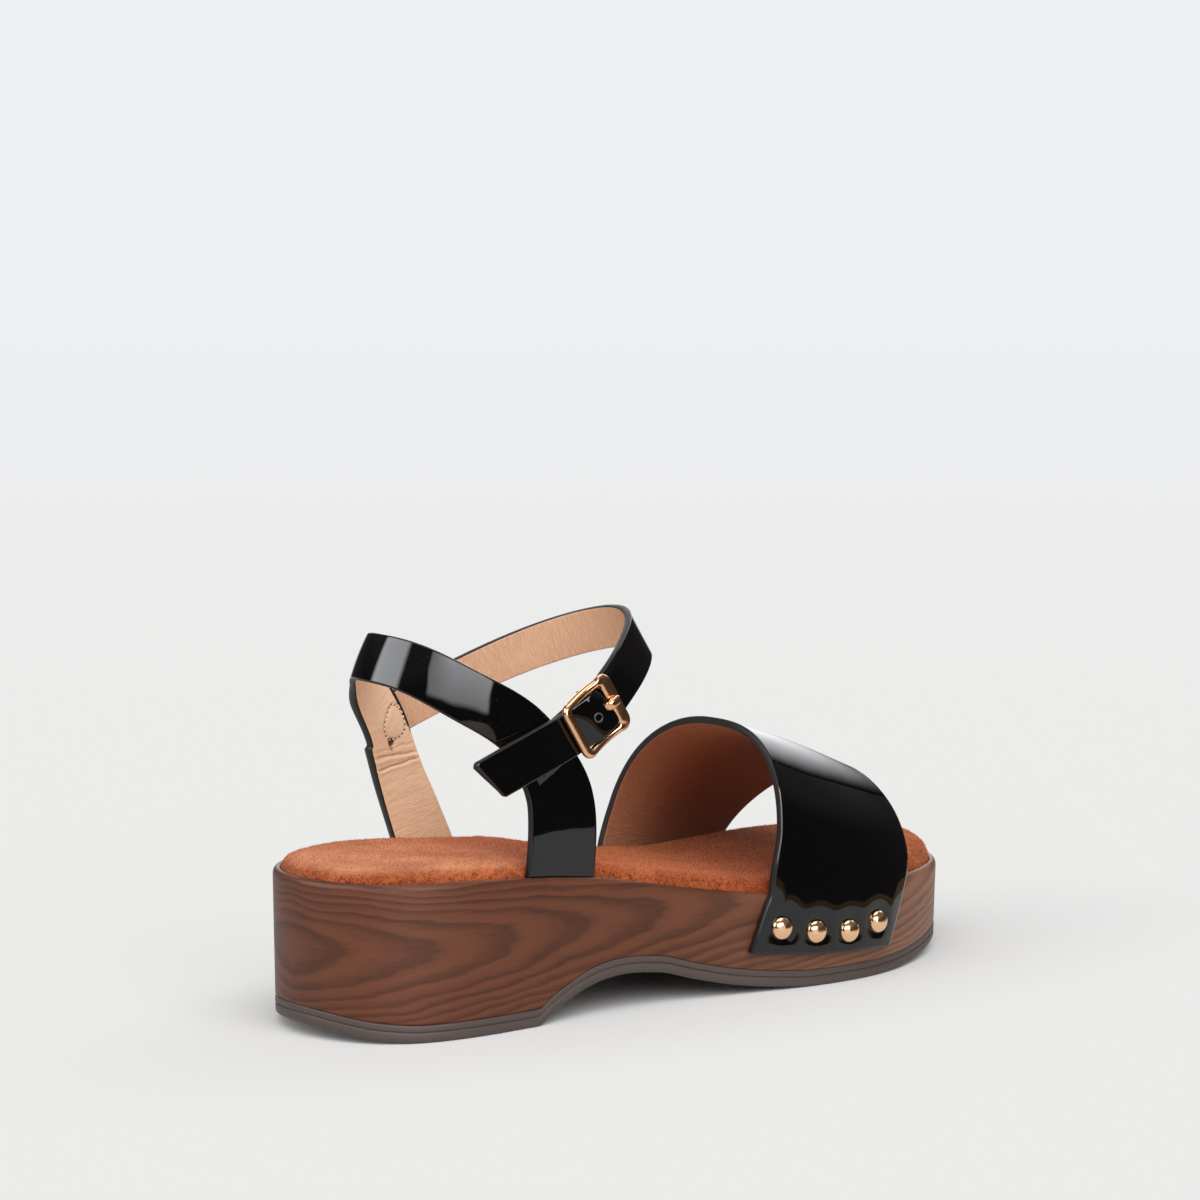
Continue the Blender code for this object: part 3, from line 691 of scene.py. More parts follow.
def edge_finish():
    material, shader, place, _ = new_finish("edge_paint", Roughness=0.4, Specular_IOR_Level=0.24)
    worn = place.noise(180, 3)
    feed(shader, Base_Color=worn.mix((0.009, 0.008, 0.008), (0.020, 0.018, 0.017)))
    feed(shader, Roughness=0.34 + 0.25 * worn)
    feed(shader, Normal=place.bump(place.noise(700, 2), 0.0002, 0.3))
    return material


patent = patent_finish()
lining = lining_finish("tan_lining", (0.66, 0.390, 0.240), (0.80, 0.500, 0.320))
# A lighter copy of the tan lining: painted light on the inner quarter.
lit_quarter_tan = lining_finish("lit_quarter_tan", (0.88, 0.590, 0.385), (0.97, 0.710, 0.480))
# A darker copy of the tan lining, darker still across the strip: painted shade inside the vamp.
shaded_vamp_tan = lining_finish("shaded_vamp_tan", (0.45, 0.180, 0.090), (0.56, 0.245, 0.128), 0.75)
edge_paint = edge_finish()


def leather(name, inner, outer, along, across, painted=None, painted_shade=None, inside=None):
    rows, columns = inner.shape[:2]
    count = rows * columns
    border = [(0, c) for c in range(columns)]
    border += [(r, columns - 1) for r in range(1, rows)]
    border += [(rows - 1, c) for c in range(columns - 2, -1, -1)]
    border += [(r, 0) for r in range(rows - 2, 0, -1)]
    size = len(border)
    rim_r, rim_c = np.array(border).T
    rim = rim_r * columns + rim_c
    middle = (inner + outer) / 2
    next_in = middle[np.clip(rim_r, 1, rows - 2), np.clip(rim_c, 1, columns - 2)]
    away = unit(middle[rim_r, rim_c] - next_in)
    points = [inner.reshape(-1, 3), outer.reshape(-1, 3)]
    flat = np.stack(np.broadcast_arrays(along, across, inner[:, :, 0])[:2], axis=-1).reshape(-1, 2)
    maps = [flat, flat]
    for k in range(1, EDGE_ROWS + 1):
        t = k / (EDGE_ROWS + 1)
        row = points[0][rim] * (1 - t) + points[1][rim] * t
        points.append(row + away * EDGE_BULGE * math.sin(math.pi * t) ** 0.7)
        maps.append(flat[rim])
    faces = []
    kinds = []
    for r in range(rows - 1):
        for c, quad in enumerate(grid_row(r, columns)):
            faces += [quad, tuple(k + count for k in quad[::-1])]
            kinds += [2 if painted is not None and painted[r, c] else 1, 0]
    levels = [rim] + [2 * count + k * size + np.arange(size) for k in range(EDGE_ROWS)] + [rim + count]
    for below, above in zip(levels, levels[1:]):
        ahead_below, ahead_above = np.roll(below, -1), np.roll(above, -1)
        faces += list(zip(below, ahead_below, ahead_above, above))
        kinds += [2] * size
    points = np.concatenate(points)
    # Painted shade for the points of the lining.
    shade_per_point = None
    if painted_shade is not None:
        shade_per_point = np.zeros(len(points))
        shade_per_point[:count] = painted_shade.ravel()
    finishes = [patent, inside or lining, edge_paint]
    return piece(name, points, faces, finishes, kinds, np.concatenate(maps) / 100, shade_per_point)


# %% [markdown]
# ## Vamp band
# One wide strip over the forefoot, nailed to both sides of the platform. Across the foot it follows a
# round arch that is squarer on the outer side, and it is lower at the toes. The nails pull the skin in,
# so the leather swells between them; those dimples bend the reflections and are modelled, not painted.

# %% Vamp band
GAP = 0.3
LEATHER = 2.4
# Girth from the outer end (0 to 1 on the wall) over the foot (1 to 5) to the inner end (5 to 6 on the wall),
# and x of the rear and front edges there
VAMP_EDGES = (
    (0.0, 139.8, 194.0),
    (1.0, 147.0, 203.0),
    (1.35, 150.6, 205.2),
    (2.0, 152.4, 207.0),
    (3.0, 153.0, 208.0),
    (4.0, 151.6, 205.0),
    (4.55, 150.4, 202.4),
    (5.0, 147.0, 200.0),
    (6.0, 141.0, 192.0),
)
# Share from rear to front: height, middle, roundness outside and inside, height of the ends
VAMP_ARCHES = (
    (0.0, 80.2, -8.0, 2.9, 2.1, 13.7),
    (0.5, 71.4, -6.0, 2.4, 1.8, 10.9),
    (1.0, 61.2, -4.0, 1.95, 1.5, 9.7),
)
# Nails of one side: x, height
STUDS = ((150.5, 20.5), (163.1, 18.2), (175.8, 17.0), (188.2, 18.4))
# Dimple at each nail: depth, width
DIMPLES = ((1.30, 5.2), (1.25, 4.7), (1.25, 4.7), (1.15, 4.8))
VAMP_ROWS = 230
VAMP_COLUMNS = 70
VAMP_LONG = 56
# How far the skin stands off the wall: height over the line of nails, distance
SWELL = (
    (-12, 0.55), (-9, 0.66), (-5, 0.78), (-1, 0.86), (2, 0.85), (6, 0.66), (10, 0.42), (15, 0.18), (22, 0),
)


def wall_y(x, outer_side):
    side = side_widths(LOOP)[0 if outer_side else 1]
    return np.interp(x, *side.T)


def vamp_lining(girth, share):
    rear = read(VAMP_EDGES, 1, girth)
    front = read(VAMP_EDGES, 2, girth)
    x = rear + share * (front - rear)
    top, middle, outer_round, inner_round, low = (read(VAMP_ARCHES, c, share) for c in range(1, 6))
    outer_side = girth < 3
    bend = 2 / np.where(outer_side, outer_round, inner_round)
    foot_y = np.where(outer_side, wall_y(x, True) - GAP, wall_y(x, False) + GAP)
    rim = crease(x)
    turn = (np.clip(girth, 1, 5) - 1) * math.pi / 4
    y = middle + (foot_y - middle) * np.abs(np.cos(turn)) ** bend
    z = rim + (top - rim) * np.abs(np.sin(turn)) ** bend
    down = np.maximum(1 - girth, girth - 5)
    z = np.where(down > 0, rim + down * (low - rim), z)
    return np.stack([x, y, z], axis=-1)


def even_girths(count):
    """Girths at even steps round the foot, measured along the middle of the band."""
    dense = np.linspace(0, 6, 3001)
    path = vamp_lining(dense, np.full_like(dense, 0.5))
    far = travelled(path)
    even = np.linspace(0, far[-1], count)
    return np.interp(even, far, dense), even


def make_vamp():
    girths, around = even_girths(VAMP_ROWS)
    shares = np.linspace(0, 1, VAMP_COLUMNS)
    girth, share = np.meshgrid(girths, shares, indexing="ij")
    inside = vamp_lining(girth, share)
    out = unit(np.cross(np.gradient(inside, axis=1), np.gradient(inside, axis=0)))
    out *= -np.sign(out[0, 0, 1])
    skin = inside + LEATHER * out
    pull = np.zeros(girth.shape)
    for (x, z), (deep, wide) in zip(STUDS, DIMPLES):
        pull += deep * bell(np.hypot(skin[:, :, 0] - x, skin[:, :, 2] - z), wide)
    side = np.minimum(girth, 6 - girth)
    over_nails = skin[:, :, 2] - read(STUDS, 1, skin[:, :, 0])
    swell = read(SWELL, 1, np.where(side < 2, over_nails, SWELL[-1][0]))
    edge_fade = ramp(np.minimum(share, 1 - share), 0, 0.10) * ramp(side, 0, 0.12)
    push = (swell + waves(skin, 26, 0.12) - pull * (side < 2)) * edge_fade
    skin = skin + push[:, :, None] * out
    return leather("vamp_leather", inside, skin, around[:, None], share * VAMP_LONG, inside=shaded_vamp_tan)


vamp = make_vamp()
seat(vamp, "patent", "vamp_band")

# %% [markdown]
# ## Heel strap and ankle strap
# Each strap is a ribbon through a table of folds: centre, width, the compass direction that its skin
# faces and how far that face leans to the sky. Creases are placed as soft troughs in the lining,
# where the inner quarter bends under the ankle strap's seam.

# %% Straps
STRAP_INSIDE = 1.2
STRAP_OUTSIDE = 1.05
STRAP_WIDE = 13.5
# Folds of a strap: x, y, z of its centre, width, direction it faces and lean to the sky in degrees
HEEL_STRAP = (
    (72.6, -32.9, 36.0, 24.0, -90.0, 0.0),
    (74.6, -32.9, 56.0, 24.0, -90.0, 0.0),
    (73.8, -32.6, 67.0, 22.8, -90.0, 1.0),
    (68.3, -32.2, 78.5, 19.4, -90.0, 1.0),
    (61.8, -31.5, 87.2, 16.8, -95.0, 0.0),
    (53.5, -30.0, 93.6, 15.8, -103.5, 0.0),
    (43.9, -26.4, 99.4, 15.3, -113.6, 4.0),
    (36.4, -20.4, 104.6, 14.9, -127.0, 11.0),
    (31.2, -12.8, 108.0, 14.5, -146.0, 18.0),
    (28.6, 0.0, 109.4, 14.3, -180.0, 22.0),
    (32.6, 12.0, 108.2, 14.5, -216.0, 20.0),
    (37.4, 19.4, 104.8, 15.0, -232.0, 12.0),
    (44.0, 26.9, 97.8, 15.6, -246.8, 1.0),
    (52.6, 29.8, 85.6, 16.2, -256.4, 0.0),
    (58.2, 31.0, 72.0, 16.2, -263.0, 0.0),
    (64.6, 31.0, 56.0, 17.4, -270.0, 0.0),
    (72.2, 31.0, 37.0, 19.2, -270.0, 0.0),
)
# The ankle strap keeps one width, so its folds are x, y, z, direction and lean
ANKLE_FOLDS = (
    (48.6, 30.2, 84.2, 105, 0),
    (60.0, 32.9, 87.6, 98, 1),
    (72.0, 33.9, 91.6, 90, 4),
    (89.4, 32.1, 98.2, 76, 9),
    (106.9, 24.5, 105.6, 52, 12),
    (117.3, 10.6, 111.2, 24, 15),
    (120.1, -4.9, 113.7, -6, 23),
    (115.1, -18.3, 112.0, -36, 29),
    (104.4, -28.4, 106.0, -60, 26),
    (96.2, -33.1, 101.0, -78, 15),
    (91.2, -34.5, 97.0, -90, 7),
    (88.7, -35.5, 95.0, -90, 7),
    (86.8, -36.9, 93.5, -90, 7),
    (84.4, -37.05, 91.5, -90, 7),
    (80.6, -36.2, 89.1, -90, 4),
    (77.1, -35.1, 86.9, -90, 0),
    (70.0, -35.1, 84.0, -90, 0),
    (58.0, -35.1, 79.5, -90, 0),
    (45.9, -35.1, 75.0, -90, 0),
)
ANKLE_STRAP = [(*fold[:3], STRAP_WIDE, *fold[3:]) for fold in ANKLE_FOLDS]
HEEL_LONG = 213.0
ANKLE_LONG = 197.26
# Steps along a strap: coarse, fine, and the stretch with fine ones
HEEL_STEPS = (0.65, 0.2, 154, 186)
ANKLE_STEPS = (0.55, 0.3, 136, 164)
HEEL_COLUMNS = 46
ANKLE_COLUMNS = 34
TAIL_SKEW = -6.0
TAIL_SKEW_LONG = 12
TAIL_ROUND = 1.3
# Creases across the lining: place along, shift across the width, depth, width of the trough
HEEL_CREASES = (
    (172.7, -0.33, 0.44, 0.50),
    (173.8, -0.31, -0.30, 0.65),
    (175.9, -0.22, 0.50, 0.46),
    (176.9, -0.22, -0.26, 0.65),
    (170.2, -0.25, 0.20, 0.45),
    (181.0, -0.20, 0.10, 0.60),
    (187.0, -0.15, 0.08, 0.70),
)
HEEL_KINK = 165.6
# Corners of the sewn loop on the lining: along, across
SEWN_LOOP = (
    (160.4, -6.9), (158.3, -5.3), (159.5, -1.2), (162.4, 1.7),
    (166.3, 1.3), (168.0, -2.4), (166.7, -6.2), (163.5, -7.1),
)
# Pinched end of the seam, the fold that leaves it and the middle of the patch in the loop: along, across
PINCH = (167.9, 0.7)
PINCH_FOLD = (170.2, 1.27)
PATCH = (163.4, -2.7)
PATCH_HALF = (5.1, 5.2)
# Creases fade towards the edges of the lining: half width, ease, least share
CREASE_FADE = (8.1, 1.4, 0.25)
RUN_POINTS = 200
RUN_ENDS = 60
# Stretch of double leather: none at the first place, full at the second
DOUBLED_FROM = (132, 146)
DOUBLED_TO = (212, 200)
# Edge paint along the lining's edge, widened into painted shadow of the gap beside the ankle strap: from, to
MARGIN = (152, 168.5)
BUCKLE_PLACE = 148.0


def busy_shares(length, coarse, fine, start, end):
    """Shares of a length, in coarse steps with fine ones from start to end."""
    before = np.arange(0, start, coarse)
    between = np.arange(start, end, fine)
    after = np.linspace(end, length, int((length - end) / coarse) + 2)
    return np.r_[before, between, after] / length


class Ribbon:
    """A strap's faces as functions of the place along it and across it, in millimetres."""

    def __init__(self, rows, shares, columns, skew=0.0, round_end=0.0):
        values, ways, self.along = smooth_path(rows, shares)
        facing, lean = np.radians(values[:, 4]), np.radians(values[:, 5])
        out = np.c_[np.cos(facing) * np.cos(lean), np.sin(facing) * np.cos(lean), np.sin(lean)]
        self.way = unit(ways)
        self.side = unit(np.cross(out, self.way))
        self.out = np.cross(self.way, self.side)
        to_end = self.along[-1] - self.along
        left = ramp(to_end, max(round_end, 1e-6), 0)
        wide = values[:, 3] - 2 * round_end * (1 - np.sqrt(1 - left ** 2))
        share = np.linspace(-0.5, 0.5, columns)
        self.across = wide[:, None] * share
        slant = skew * ramp(to_end, TAIL_SKEW_LONG, 0)[:, None] * share
        sideways = self.side[:, None] * self.across[:, :, None]
        self.middle = values[:, None, :3] + sideways + self.way[:, None] * slant[:, :, None]

    def faces(self, inner_push, outer_push):
        out = self.out[:, None]
        self.inner = self.middle - out * (STRAP_INSIDE + inner_push)[:, :, None]
        self.outer = self.middle + out * (STRAP_OUTSIDE + outer_push)[:, :, None]
        return self.inner, self.outer

    def at(self, along, across, lift):
        """A point on the skin (lift above 0) or on the lining (below 0), and the way out there."""
        k = int(np.argmin(np.abs(self.along - along)))
        grid, sign = (self.outer, 1) if lift > 0 else (self.inner, -1)
        spot = np.array([np.interp(across, self.across[k], grid[k, :, axis]) for axis in range(3)])
        return spot + self.out[k] * lift, self.out[k] * sign


def closed_run(corners):
    """A smooth run round some corners and back to the first."""
    wrapped = [(*corner, 0) for corner in corners[-2:] + corners + corners[:3]]
    run = smooth_path(wrapped, RUN_POINTS)[0][:, :2]
    away = np.linalg.norm(run - corners[0], axis=1)
    late = RUN_POINTS - RUN_ENDS
    return run[np.argmin(away[:RUN_ENDS]):late + np.argmin(away[late:]) + 1]


def heel_fold(along, across, trough):
    """Depth of the creases, the pinched end of the seam and the sewn patch in the lining."""
    wander = waves(heel.middle, 3.2, 0.6)
    half, ease, least = CREASE_FADE
    inside_edges = np.clip((half - np.abs(across)) / ease, least, 1)
    fold = np.zeros_like(across)
    for place, shift, depth, wide in HEEL_CREASES:
        fold += depth * bell(along - place - shift * across + wander, wide) * inside_edges
    fold += 1.1 * np.exp(-((along - PINCH[0]) ** 2 + (across - PINCH[1]) ** 2 / 0.9))
    further = along - PINCH_FOLD[0]
    fold += 0.45 * np.exp(-(further ** 2 / 2.6 + (across - PINCH_FOLD[1] + 0.15 * further) ** 2 / 0.2))
    patch = ((along - PATCH[0]) / PATCH_HALF[0]) ** 2 + ((across - PATCH[1]) / PATCH_HALF[1]) ** 2
    return fold + (0.42 * trough - 0.22 * np.exp(-patch ** 2))


def make_heel_strap():
    along, across = heel.along[:, None], heel.across
    to_loop = np.min([np.hypot(along - a, across - c) for a, c in sewn_loop], axis=0)
    trough = bell(to_loop, 0.55)
    fold = heel_fold(along, across, trough)
    below_kink = 1 / (1 + np.exp(-(along - HEEL_KINK) / 0.25))
    heel.middle = heel.middle + heel.side[:, None] * (below_kink * ramp(across, 5, 8))[:, :, None]
    rounded = -0.30 * (2 * across / np.ptp(across, axis=1)[:, None]) ** 2 * ramp(along, 30, 55)
    doubled = ramp(along, *DOUBLED_FROM) * ramp(along, *DOUBLED_TO)
    outer_push = waves(heel.middle, 17, 0.10) + rounded + (1.0 + 0.6 * below_kink) * doubled
    faces = heel.faces(waves(heel.middle, 9, 0.10) - fold, outer_push)
    # Real edge paint on the lining's front edge, widened to paint the shadow in the gap beside the ankle
    # strap.
    margin = (along > MARGIN[0]) & (along < MARGIN[1])
    margin = margin & (across < across[:, :1] + 0.8 - 0.05 * (along - 158))
    # Painted shade: the lining darkens in its creases, along the trough of the sewn loop and in the pinched
    # end of the seam.
    pinch_shade = np.exp(-((along - PINCH[0] - 0.1) ** 2 + (across - PINCH[1]) ** 2) / 1.2)
    painted_shade = np.clip(1.3 * fold - 0.12, 0, 0.75) + 0.35 * trough + pinch_shade
    return leather("heel_strap", *faces, along, across, margin, np.clip(painted_shade, 0, 1), lit_quarter_tan)


def make_ankle_strap():
    along, across = ankle.along[:, None], ankle.across
    cupped = 0.8 * bell(along - BUCKLE_PLACE, 9) * (1 - np.abs(across / (STRAP_WIDE / 2)) ** 3.5)
    faces = ankle.faces(waves(ankle.middle, 8, 0.08), waves(ankle.middle, 19, 0.06) + cupped)
    return leather("ankle_strap", *faces, along, across)


sewn_loop = closed_run(SEWN_LOOP)
heel = Ribbon(HEEL_STRAP, busy_shares(HEEL_LONG, *HEEL_STEPS), HEEL_COLUMNS)
seat(make_heel_strap(), "patent", "upper_straps")
ankle = Ribbon(ANKLE_STRAP, busy_shares(ANKLE_LONG, *ANKLE_STEPS), ANKLE_COLUMNS, TAIL_SKEW, TAIL_ROUND)
seat(make_ankle_strap(), "patent", "upper_straps")

# %% [markdown]
# ## Buckle tab
# A short strip sewn to the outer quarter. It runs forward to the buckle's centre bar and wraps round it
# in two narrow loops, with the prong between them. Its path lies in one plane, so a strip is just a
# path of length and depth carried across the width.

# %% Buckle frame of reference and tab
BUCKLE_SLOPE = math.radians(32.5)
BUCKLE_CENTRE = np.array((84.1, -33.9, 91.3))
BUCKLE_ALONG = np.array((math.cos(BUCKLE_SLOPE), 0, math.sin(BUCKLE_SLOPE)))
BUCKLE_OUT = np.array((0.0, -1.0, 0.0))
BUCKLE_UP = np.cross(BUCKLE_OUT, BUCKLE_ALONG)
TAB_THICK = 1.0
TAB_LONG = 26.0
TAB_LOOP = 1.55
TAB_PRESS = 0.5
TAB_FLAT = 3.2
PRONG_SIDE = 0.6
SLOT_HALF = 1.3


def at_buckle(along, up, out):
    spots = np.multiply.outer(along, BUCKLE_ALONG) + np.multiply.outer(up, BUCKLE_UP)
    return BUCKLE_CENTRE + spots + np.multiply.outer(out, BUCKLE_OUT)


def pressed(height):
    """How far stitches pull the tab down near its long edges."""
    return TAB_PRESS * ramp(np.abs(height), TAB_FLAT, STRAP_WIDE / 2) ** 2


def strip(name, path, low, high, columns):
    """Leather along a path of (length, depth) in the buckle's plane, from one height to another."""
    path = np.array(path, float)
    way = unit(np.gradient(path, axis=0))
    normal = np.c_[-way[:, 1], way[:, 0]]
    far = travelled(path)
    heights = np.linspace(low, high, columns)
    grids = []
    for sign in (-1, 1):
        spot = path + sign * normal * TAB_THICK / 2
        rows = [at_buckle(spot[:, 0], np.full(len(path), h), spot[:, 1] - pressed(h)) for h in heights]
        grids.append(np.stack(rows, axis=1))
    return leather(name, *grids, far[:, None], heights[None, :])


half = STRAP_WIDE / 2
flat_run = [(a, -0.4) for a in np.linspace(-TAB_LONG, -1.2, 60)]
loop_turns = np.radians(np.linspace(-152, 140, 40))
round_run = [(TAB_LOOP * math.cos(t), TAB_LOOP * math.sin(t)) for t in loop_turns]
for name, run, low, high, columns in (
    ("buckle_tab", flat_run, -half, half, 24),
    ("tab_loop_low", round_run, -half, PRONG_SIDE - SLOT_HALF, 9),
    ("tab_loop_high", round_run, PRONG_SIDE + SLOT_HALF, half, 9),
):
    seat(strip(name, run, low, high, columns), "patent", "upper_straps")

# %% [markdown]
# ## Buckle
# A cast frame, bowed outwards so that the strap can pass under both ends, with a bar across the middle
# and a prong that comes up through the strap's hole and rests on the front end. Both are round wire, so
# one function carries an oval section along a path.

# %% Metal, buckle frame and prong
FRAME_HALF_LONG = 8.3
FRAME_HALF_WIDE = 8.35
FRAME_MIDDLE = -0.7
FRAME_CORNER = 2.0
FRAME_LIFT = 3.75
FRAME_SAG = 1.3
FRAME_POINTS = 180
BAR_WIRE = 0.8
PRONG_WIRE = 0.7
PRONG_TIP = 1.5
PRONG_LOOP = 1.7


def metal_finish(name, deep, pale):
    material, shader, place, _ = new_finish(name, Metallic=1.0, Roughness=0.2)
    rubbed = place.noise(260, 3)
    feed(shader, Base_Color=rubbed.mix(deep, pale))
    feed(shader, Roughness=0.15 + 0.12 * rubbed.smooth(0.4, 0.8))
    feed(shader, Normal=place.bump(place.noise(900, 2), 0.00005, 0.25))
    return material


metal = metal_finish("rose_gold", (0.74, 0.40, 0.215), (0.84, 0.50, 0.28))
# A paler copy of the same metal for the studs: painted light from the bright floor that they mirror.
lit_stud_metal = metal_finish("lit_stud_gold", (0.84, 0.52, 0.30), (0.92, 0.60, 0.36))


def capped(count, sides):
    """Faces of a stack of rings with both ends closed."""
    last = (count - 1) * sides
    return ring_faces(count, sides) + [tuple(range(sides)), tuple(range(last, last + sides))]


def wire(path, widths, across, closed=False, sides=20):
    """An oval section carried along a path: half width along across, half depth square to it."""
    path = np.array(path, float)
    count = len(path)
    round_way = np.roll(path, -1, axis=0) - np.roll(path, 1, axis=0)
    way = unit(round_way if closed else np.gradient(path, axis=0))
    across = unit(np.cross(way, BUCKLE_OUT) if across is None else np.broadcast_to(across, way.shape))
    depth = np.cross(way, across)
    turns = np.linspace(0, 2 * math.pi, sides, endpoint=False)
    flat = [np.sign(wave) * np.abs(wave) ** 0.8 for wave in (np.cos(turns), np.sin(turns))]
    widths = np.broadcast_to(widths, (count, 2))
    wide = widths[:, :1, None] * flat[0][None, :, None] * across[:, None]
    deep = widths[:, 1:, None] * flat[1][None, :, None] * depth[:, None]
    points = (path[:, None] + wide + deep).reshape(-1, 3)
    if not closed:
        return points, capped(count, sides)
    last = (count - 1) * sides
    meeting = [(last + k, last + (k + 1) % sides, (k + 1) % sides, k) for k in range(sides)]
    return points, ring_faces(count, sides) + meeting


def frame_run():
    """Places round the frame, as length and height in the buckle's plane."""
    run = []
    for start, (a, u) in zip((0, 90, 180, 270), ((1, 1), (-1, 1), (-1, -1), (1, -1))):
        along = a * (FRAME_HALF_LONG - FRAME_CORNER)
        up = u * (FRAME_HALF_WIDE - FRAME_CORNER)
        for turn in np.radians(np.linspace(start, start + 90, 12)):
            run.append((along + FRAME_CORNER * math.cos(turn), up + FRAME_CORNER * math.sin(turn)))
    run = np.array(run + run[:1])
    far = travelled(run)
    even = np.linspace(0, far[-1], FRAME_POINTS + 1)[:-1]
    return FRAME_MIDDLE + np.interp(even, far, run[:, 0]), np.interp(even, far, run[:, 1])


def joined(name, parts):
    """One metal piece made of several wires."""
    points = []
    faces = []
    for part_points, part_faces in parts:
        faces += [tuple(k + len(points) for k in face) for face in part_faces]
        points += list(part_points)
    return piece(name, points, faces, [metal])


along, up = frame_run()
share = (along - FRAME_MIDDLE) / FRAME_HALF_LONG
lift = FRAME_LIFT - FRAME_SAG * (1 - share ** 2)
front, back = ramp(share, 0.72, 0.92), ramp(-share, 0.72, 0.92)
frame_widths = np.c_[1.2 + 1.0 * front + 0.25 * back, 1.35 - 0.45 * front - 0.15 * back]
bar_up = np.linspace(-FRAME_HALF_WIDE, FRAME_HALF_WIDE, 24)
bar_lift = 1.6 * ramp(np.abs(bar_up), 7.2, 9.4) ** 2
frame_parts = [
    wire(at_buckle(along, up, lift), frame_widths, None, closed=True, sides=24),
    wire(at_buckle(0 * bar_up, bar_up, bar_lift), (BAR_WIRE, BAR_WIRE), BUCKLE_ALONG),
]
seat(joined("buckle_metal", frame_parts), "metal", "buckle_frame")

PRONG_STEPS = 110
PRONG_REST = FRAME_LIFT + 1.0 + PRONG_WIRE
# Prong from the bar to its tip: length, depth
PRONG_RISE = (
    (2.3, 0.9), (3.2, 2.6), (3.9, 4.2),
    (5.0, PRONG_REST - 0.1), (6.3, PRONG_REST + 0.1), (7.7, PRONG_REST), (8.8, PRONG_REST - 0.45),
)
prong_turns = np.radians(np.linspace(100, 330, 10))
prong_rows = [(PRONG_LOOP * math.cos(t), PRONG_LOOP * math.sin(t)) for t in prong_turns] + list(PRONG_RISE)
prong_path = smooth_path([at_buckle(a, PRONG_SIDE, o) for a, o in prong_rows], PRONG_STEPS)[0]
share = np.linspace(0, 1, PRONG_STEPS)
swelling = ramp(share, 0.55, 0.75)
tip = np.sqrt(np.clip(1 - ramp(share, 0.93, 1.002) ** 2, 0.02, 1))[:, None]
prong_widths = np.c_[PRONG_WIRE + (PRONG_TIP - PRONG_WIRE) * swelling, PRONG_WIRE + 0.25 * swelling] * tip
seat(joined("prong_metal", [wire(prong_path, prong_widths, BUCKLE_UP)]), "metal", "buckle_prong")

# %% [markdown]
# ## Copies of one shape
# Nails, stitches and fibres are each one small shape used many times. Geometry Nodes put a copy of it on
# every point, turned along directions that are stored with the point. Realize Instances then makes the
# copies real mesh.

# %% Geometry Nodes helpers


def new_tree(name, kinds):
    """A tree with inputs of the named kinds and a geometry output, and a wire from each input."""
    tree = bpy.data.node_groups.new(name, "GeometryNodeTree")
    for label, kind in kinds.items():
        tree.interface.new_socket(label, in_out="INPUT", socket_type="NodeSocket" + kind)
    tree.interface.new_socket("Geometry", in_out="OUTPUT", socket_type="NodeSocketGeometry")
    source = tree.nodes.new("NodeGroupInput")
    return tree, *(Wire(tree, source.outputs[label]) for label in kinds)


def copy_shape(points, shape, turn, finish, size=(1, 1, 1)):
    """The end of a tree: one shape on every point, made real, painted and shaded smooth."""
    drawn = shape.node("GeometryNodeObjectInfo", {}, {0: shape}, "Geometry")
    values = {"Points": points, "Instance": drawn, "Rotation": turn, "Scale": size}
    copies = points.node("GeometryNodeInstanceOnPoints", {}, values)
    real = copies.node("GeometryNodeRealizeInstances", {}, {0: copies})
    painted = real.node("GeometryNodeSetMaterial", {}, {0: real, "Material": finish})
    shaded = painted.node("GeometryNodeSetShadeSmooth", {}, {0: painted})
    target = shaded.tree.nodes.new("NodeGroupOutput")
    shaded.tree.links.new(shaded.socket, target.inputs[0])


def pattern_tree():
    """One shape on every point: its X along the point's way, its Z along the point's outward direction."""
    kinds = {"Spots": "Geometry", "Shape": "Object", "Finish": "Material"}
    tree, spots, shape, finish = new_tree("shape_on_points", kinds)
    kept = "GeometryNodeInputNamedAttribute"
    way, out = (spots.node(kept, {"data_type": "FLOAT_VECTOR"}, {"Name": name}) for name in ("way", "out"))
    align = "FunctionNodeAlignRotationToVector"
    stand = out.node(align, {"axis": "Z"}, {"Vector": out})
    turn = way.node(align, {"axis": "X", "pivot_axis": "Z"}, {"Rotation": stand, "Vector": way})
    copy_shape(spots, shape, turn, finish)
    return tree


ON_POINTS = pattern_tree()


def spread(name, spots, ways, outs, shape, finish):
    """A plain mesh of one shape on every spot."""
    mesh = bpy.data.meshes.new(name + "_spots")
    mesh.from_pydata(to_frame(spots).tolist(), [], [])
    for label, vectors in (("way", ways), ("out", outs)):
        store = mesh.attributes.new(label, "FLOAT_VECTOR", "POINT")
        store.data.foreach_set("vector", np.asarray(vectors, float).ravel())
    guide = bpy.data.objects.new(name + "_spots", mesh)
    return grown(name, guide, ON_POINTS, {"Shape": shape, "Finish": finish})


def grown(name, guide, tree, inputs):
    """The plain mesh that a node tree makes from a guide; the guide itself is thrown away."""
    bpy.context.collection.objects.link(guide)
    modifier = guide.modifiers.new("grow", "NODES")
    modifier.node_group = tree
    for item in tree.interface.items_tree:
        if item.in_out == "INPUT" and item.name in inputs:
            modifier[item.identifier] = inputs[item.name]
    view = bpy.context.evaluated_depsgraph_get()
    view.update()
    mesh = bpy.data.meshes.new_from_object(guide.evaluated_get(view))
    guide.modifiers.remove(modifier)
    bpy.data.objects.remove(guide)
    mesh.name = name
    print(name, len(mesh.polygons), "faces")
    return placed(name, mesh)


def pattern(name, points, faces):
    """A small shape in millimetres about its own origin, used only as the pattern to copy."""
    mesh = bpy.data.meshes.new(name)
    mesh.from_pydata((np.array(points) * MM).tolist(), [], faces)
    outward(mesh)
    return bpy.data.objects.new(name, mesh)


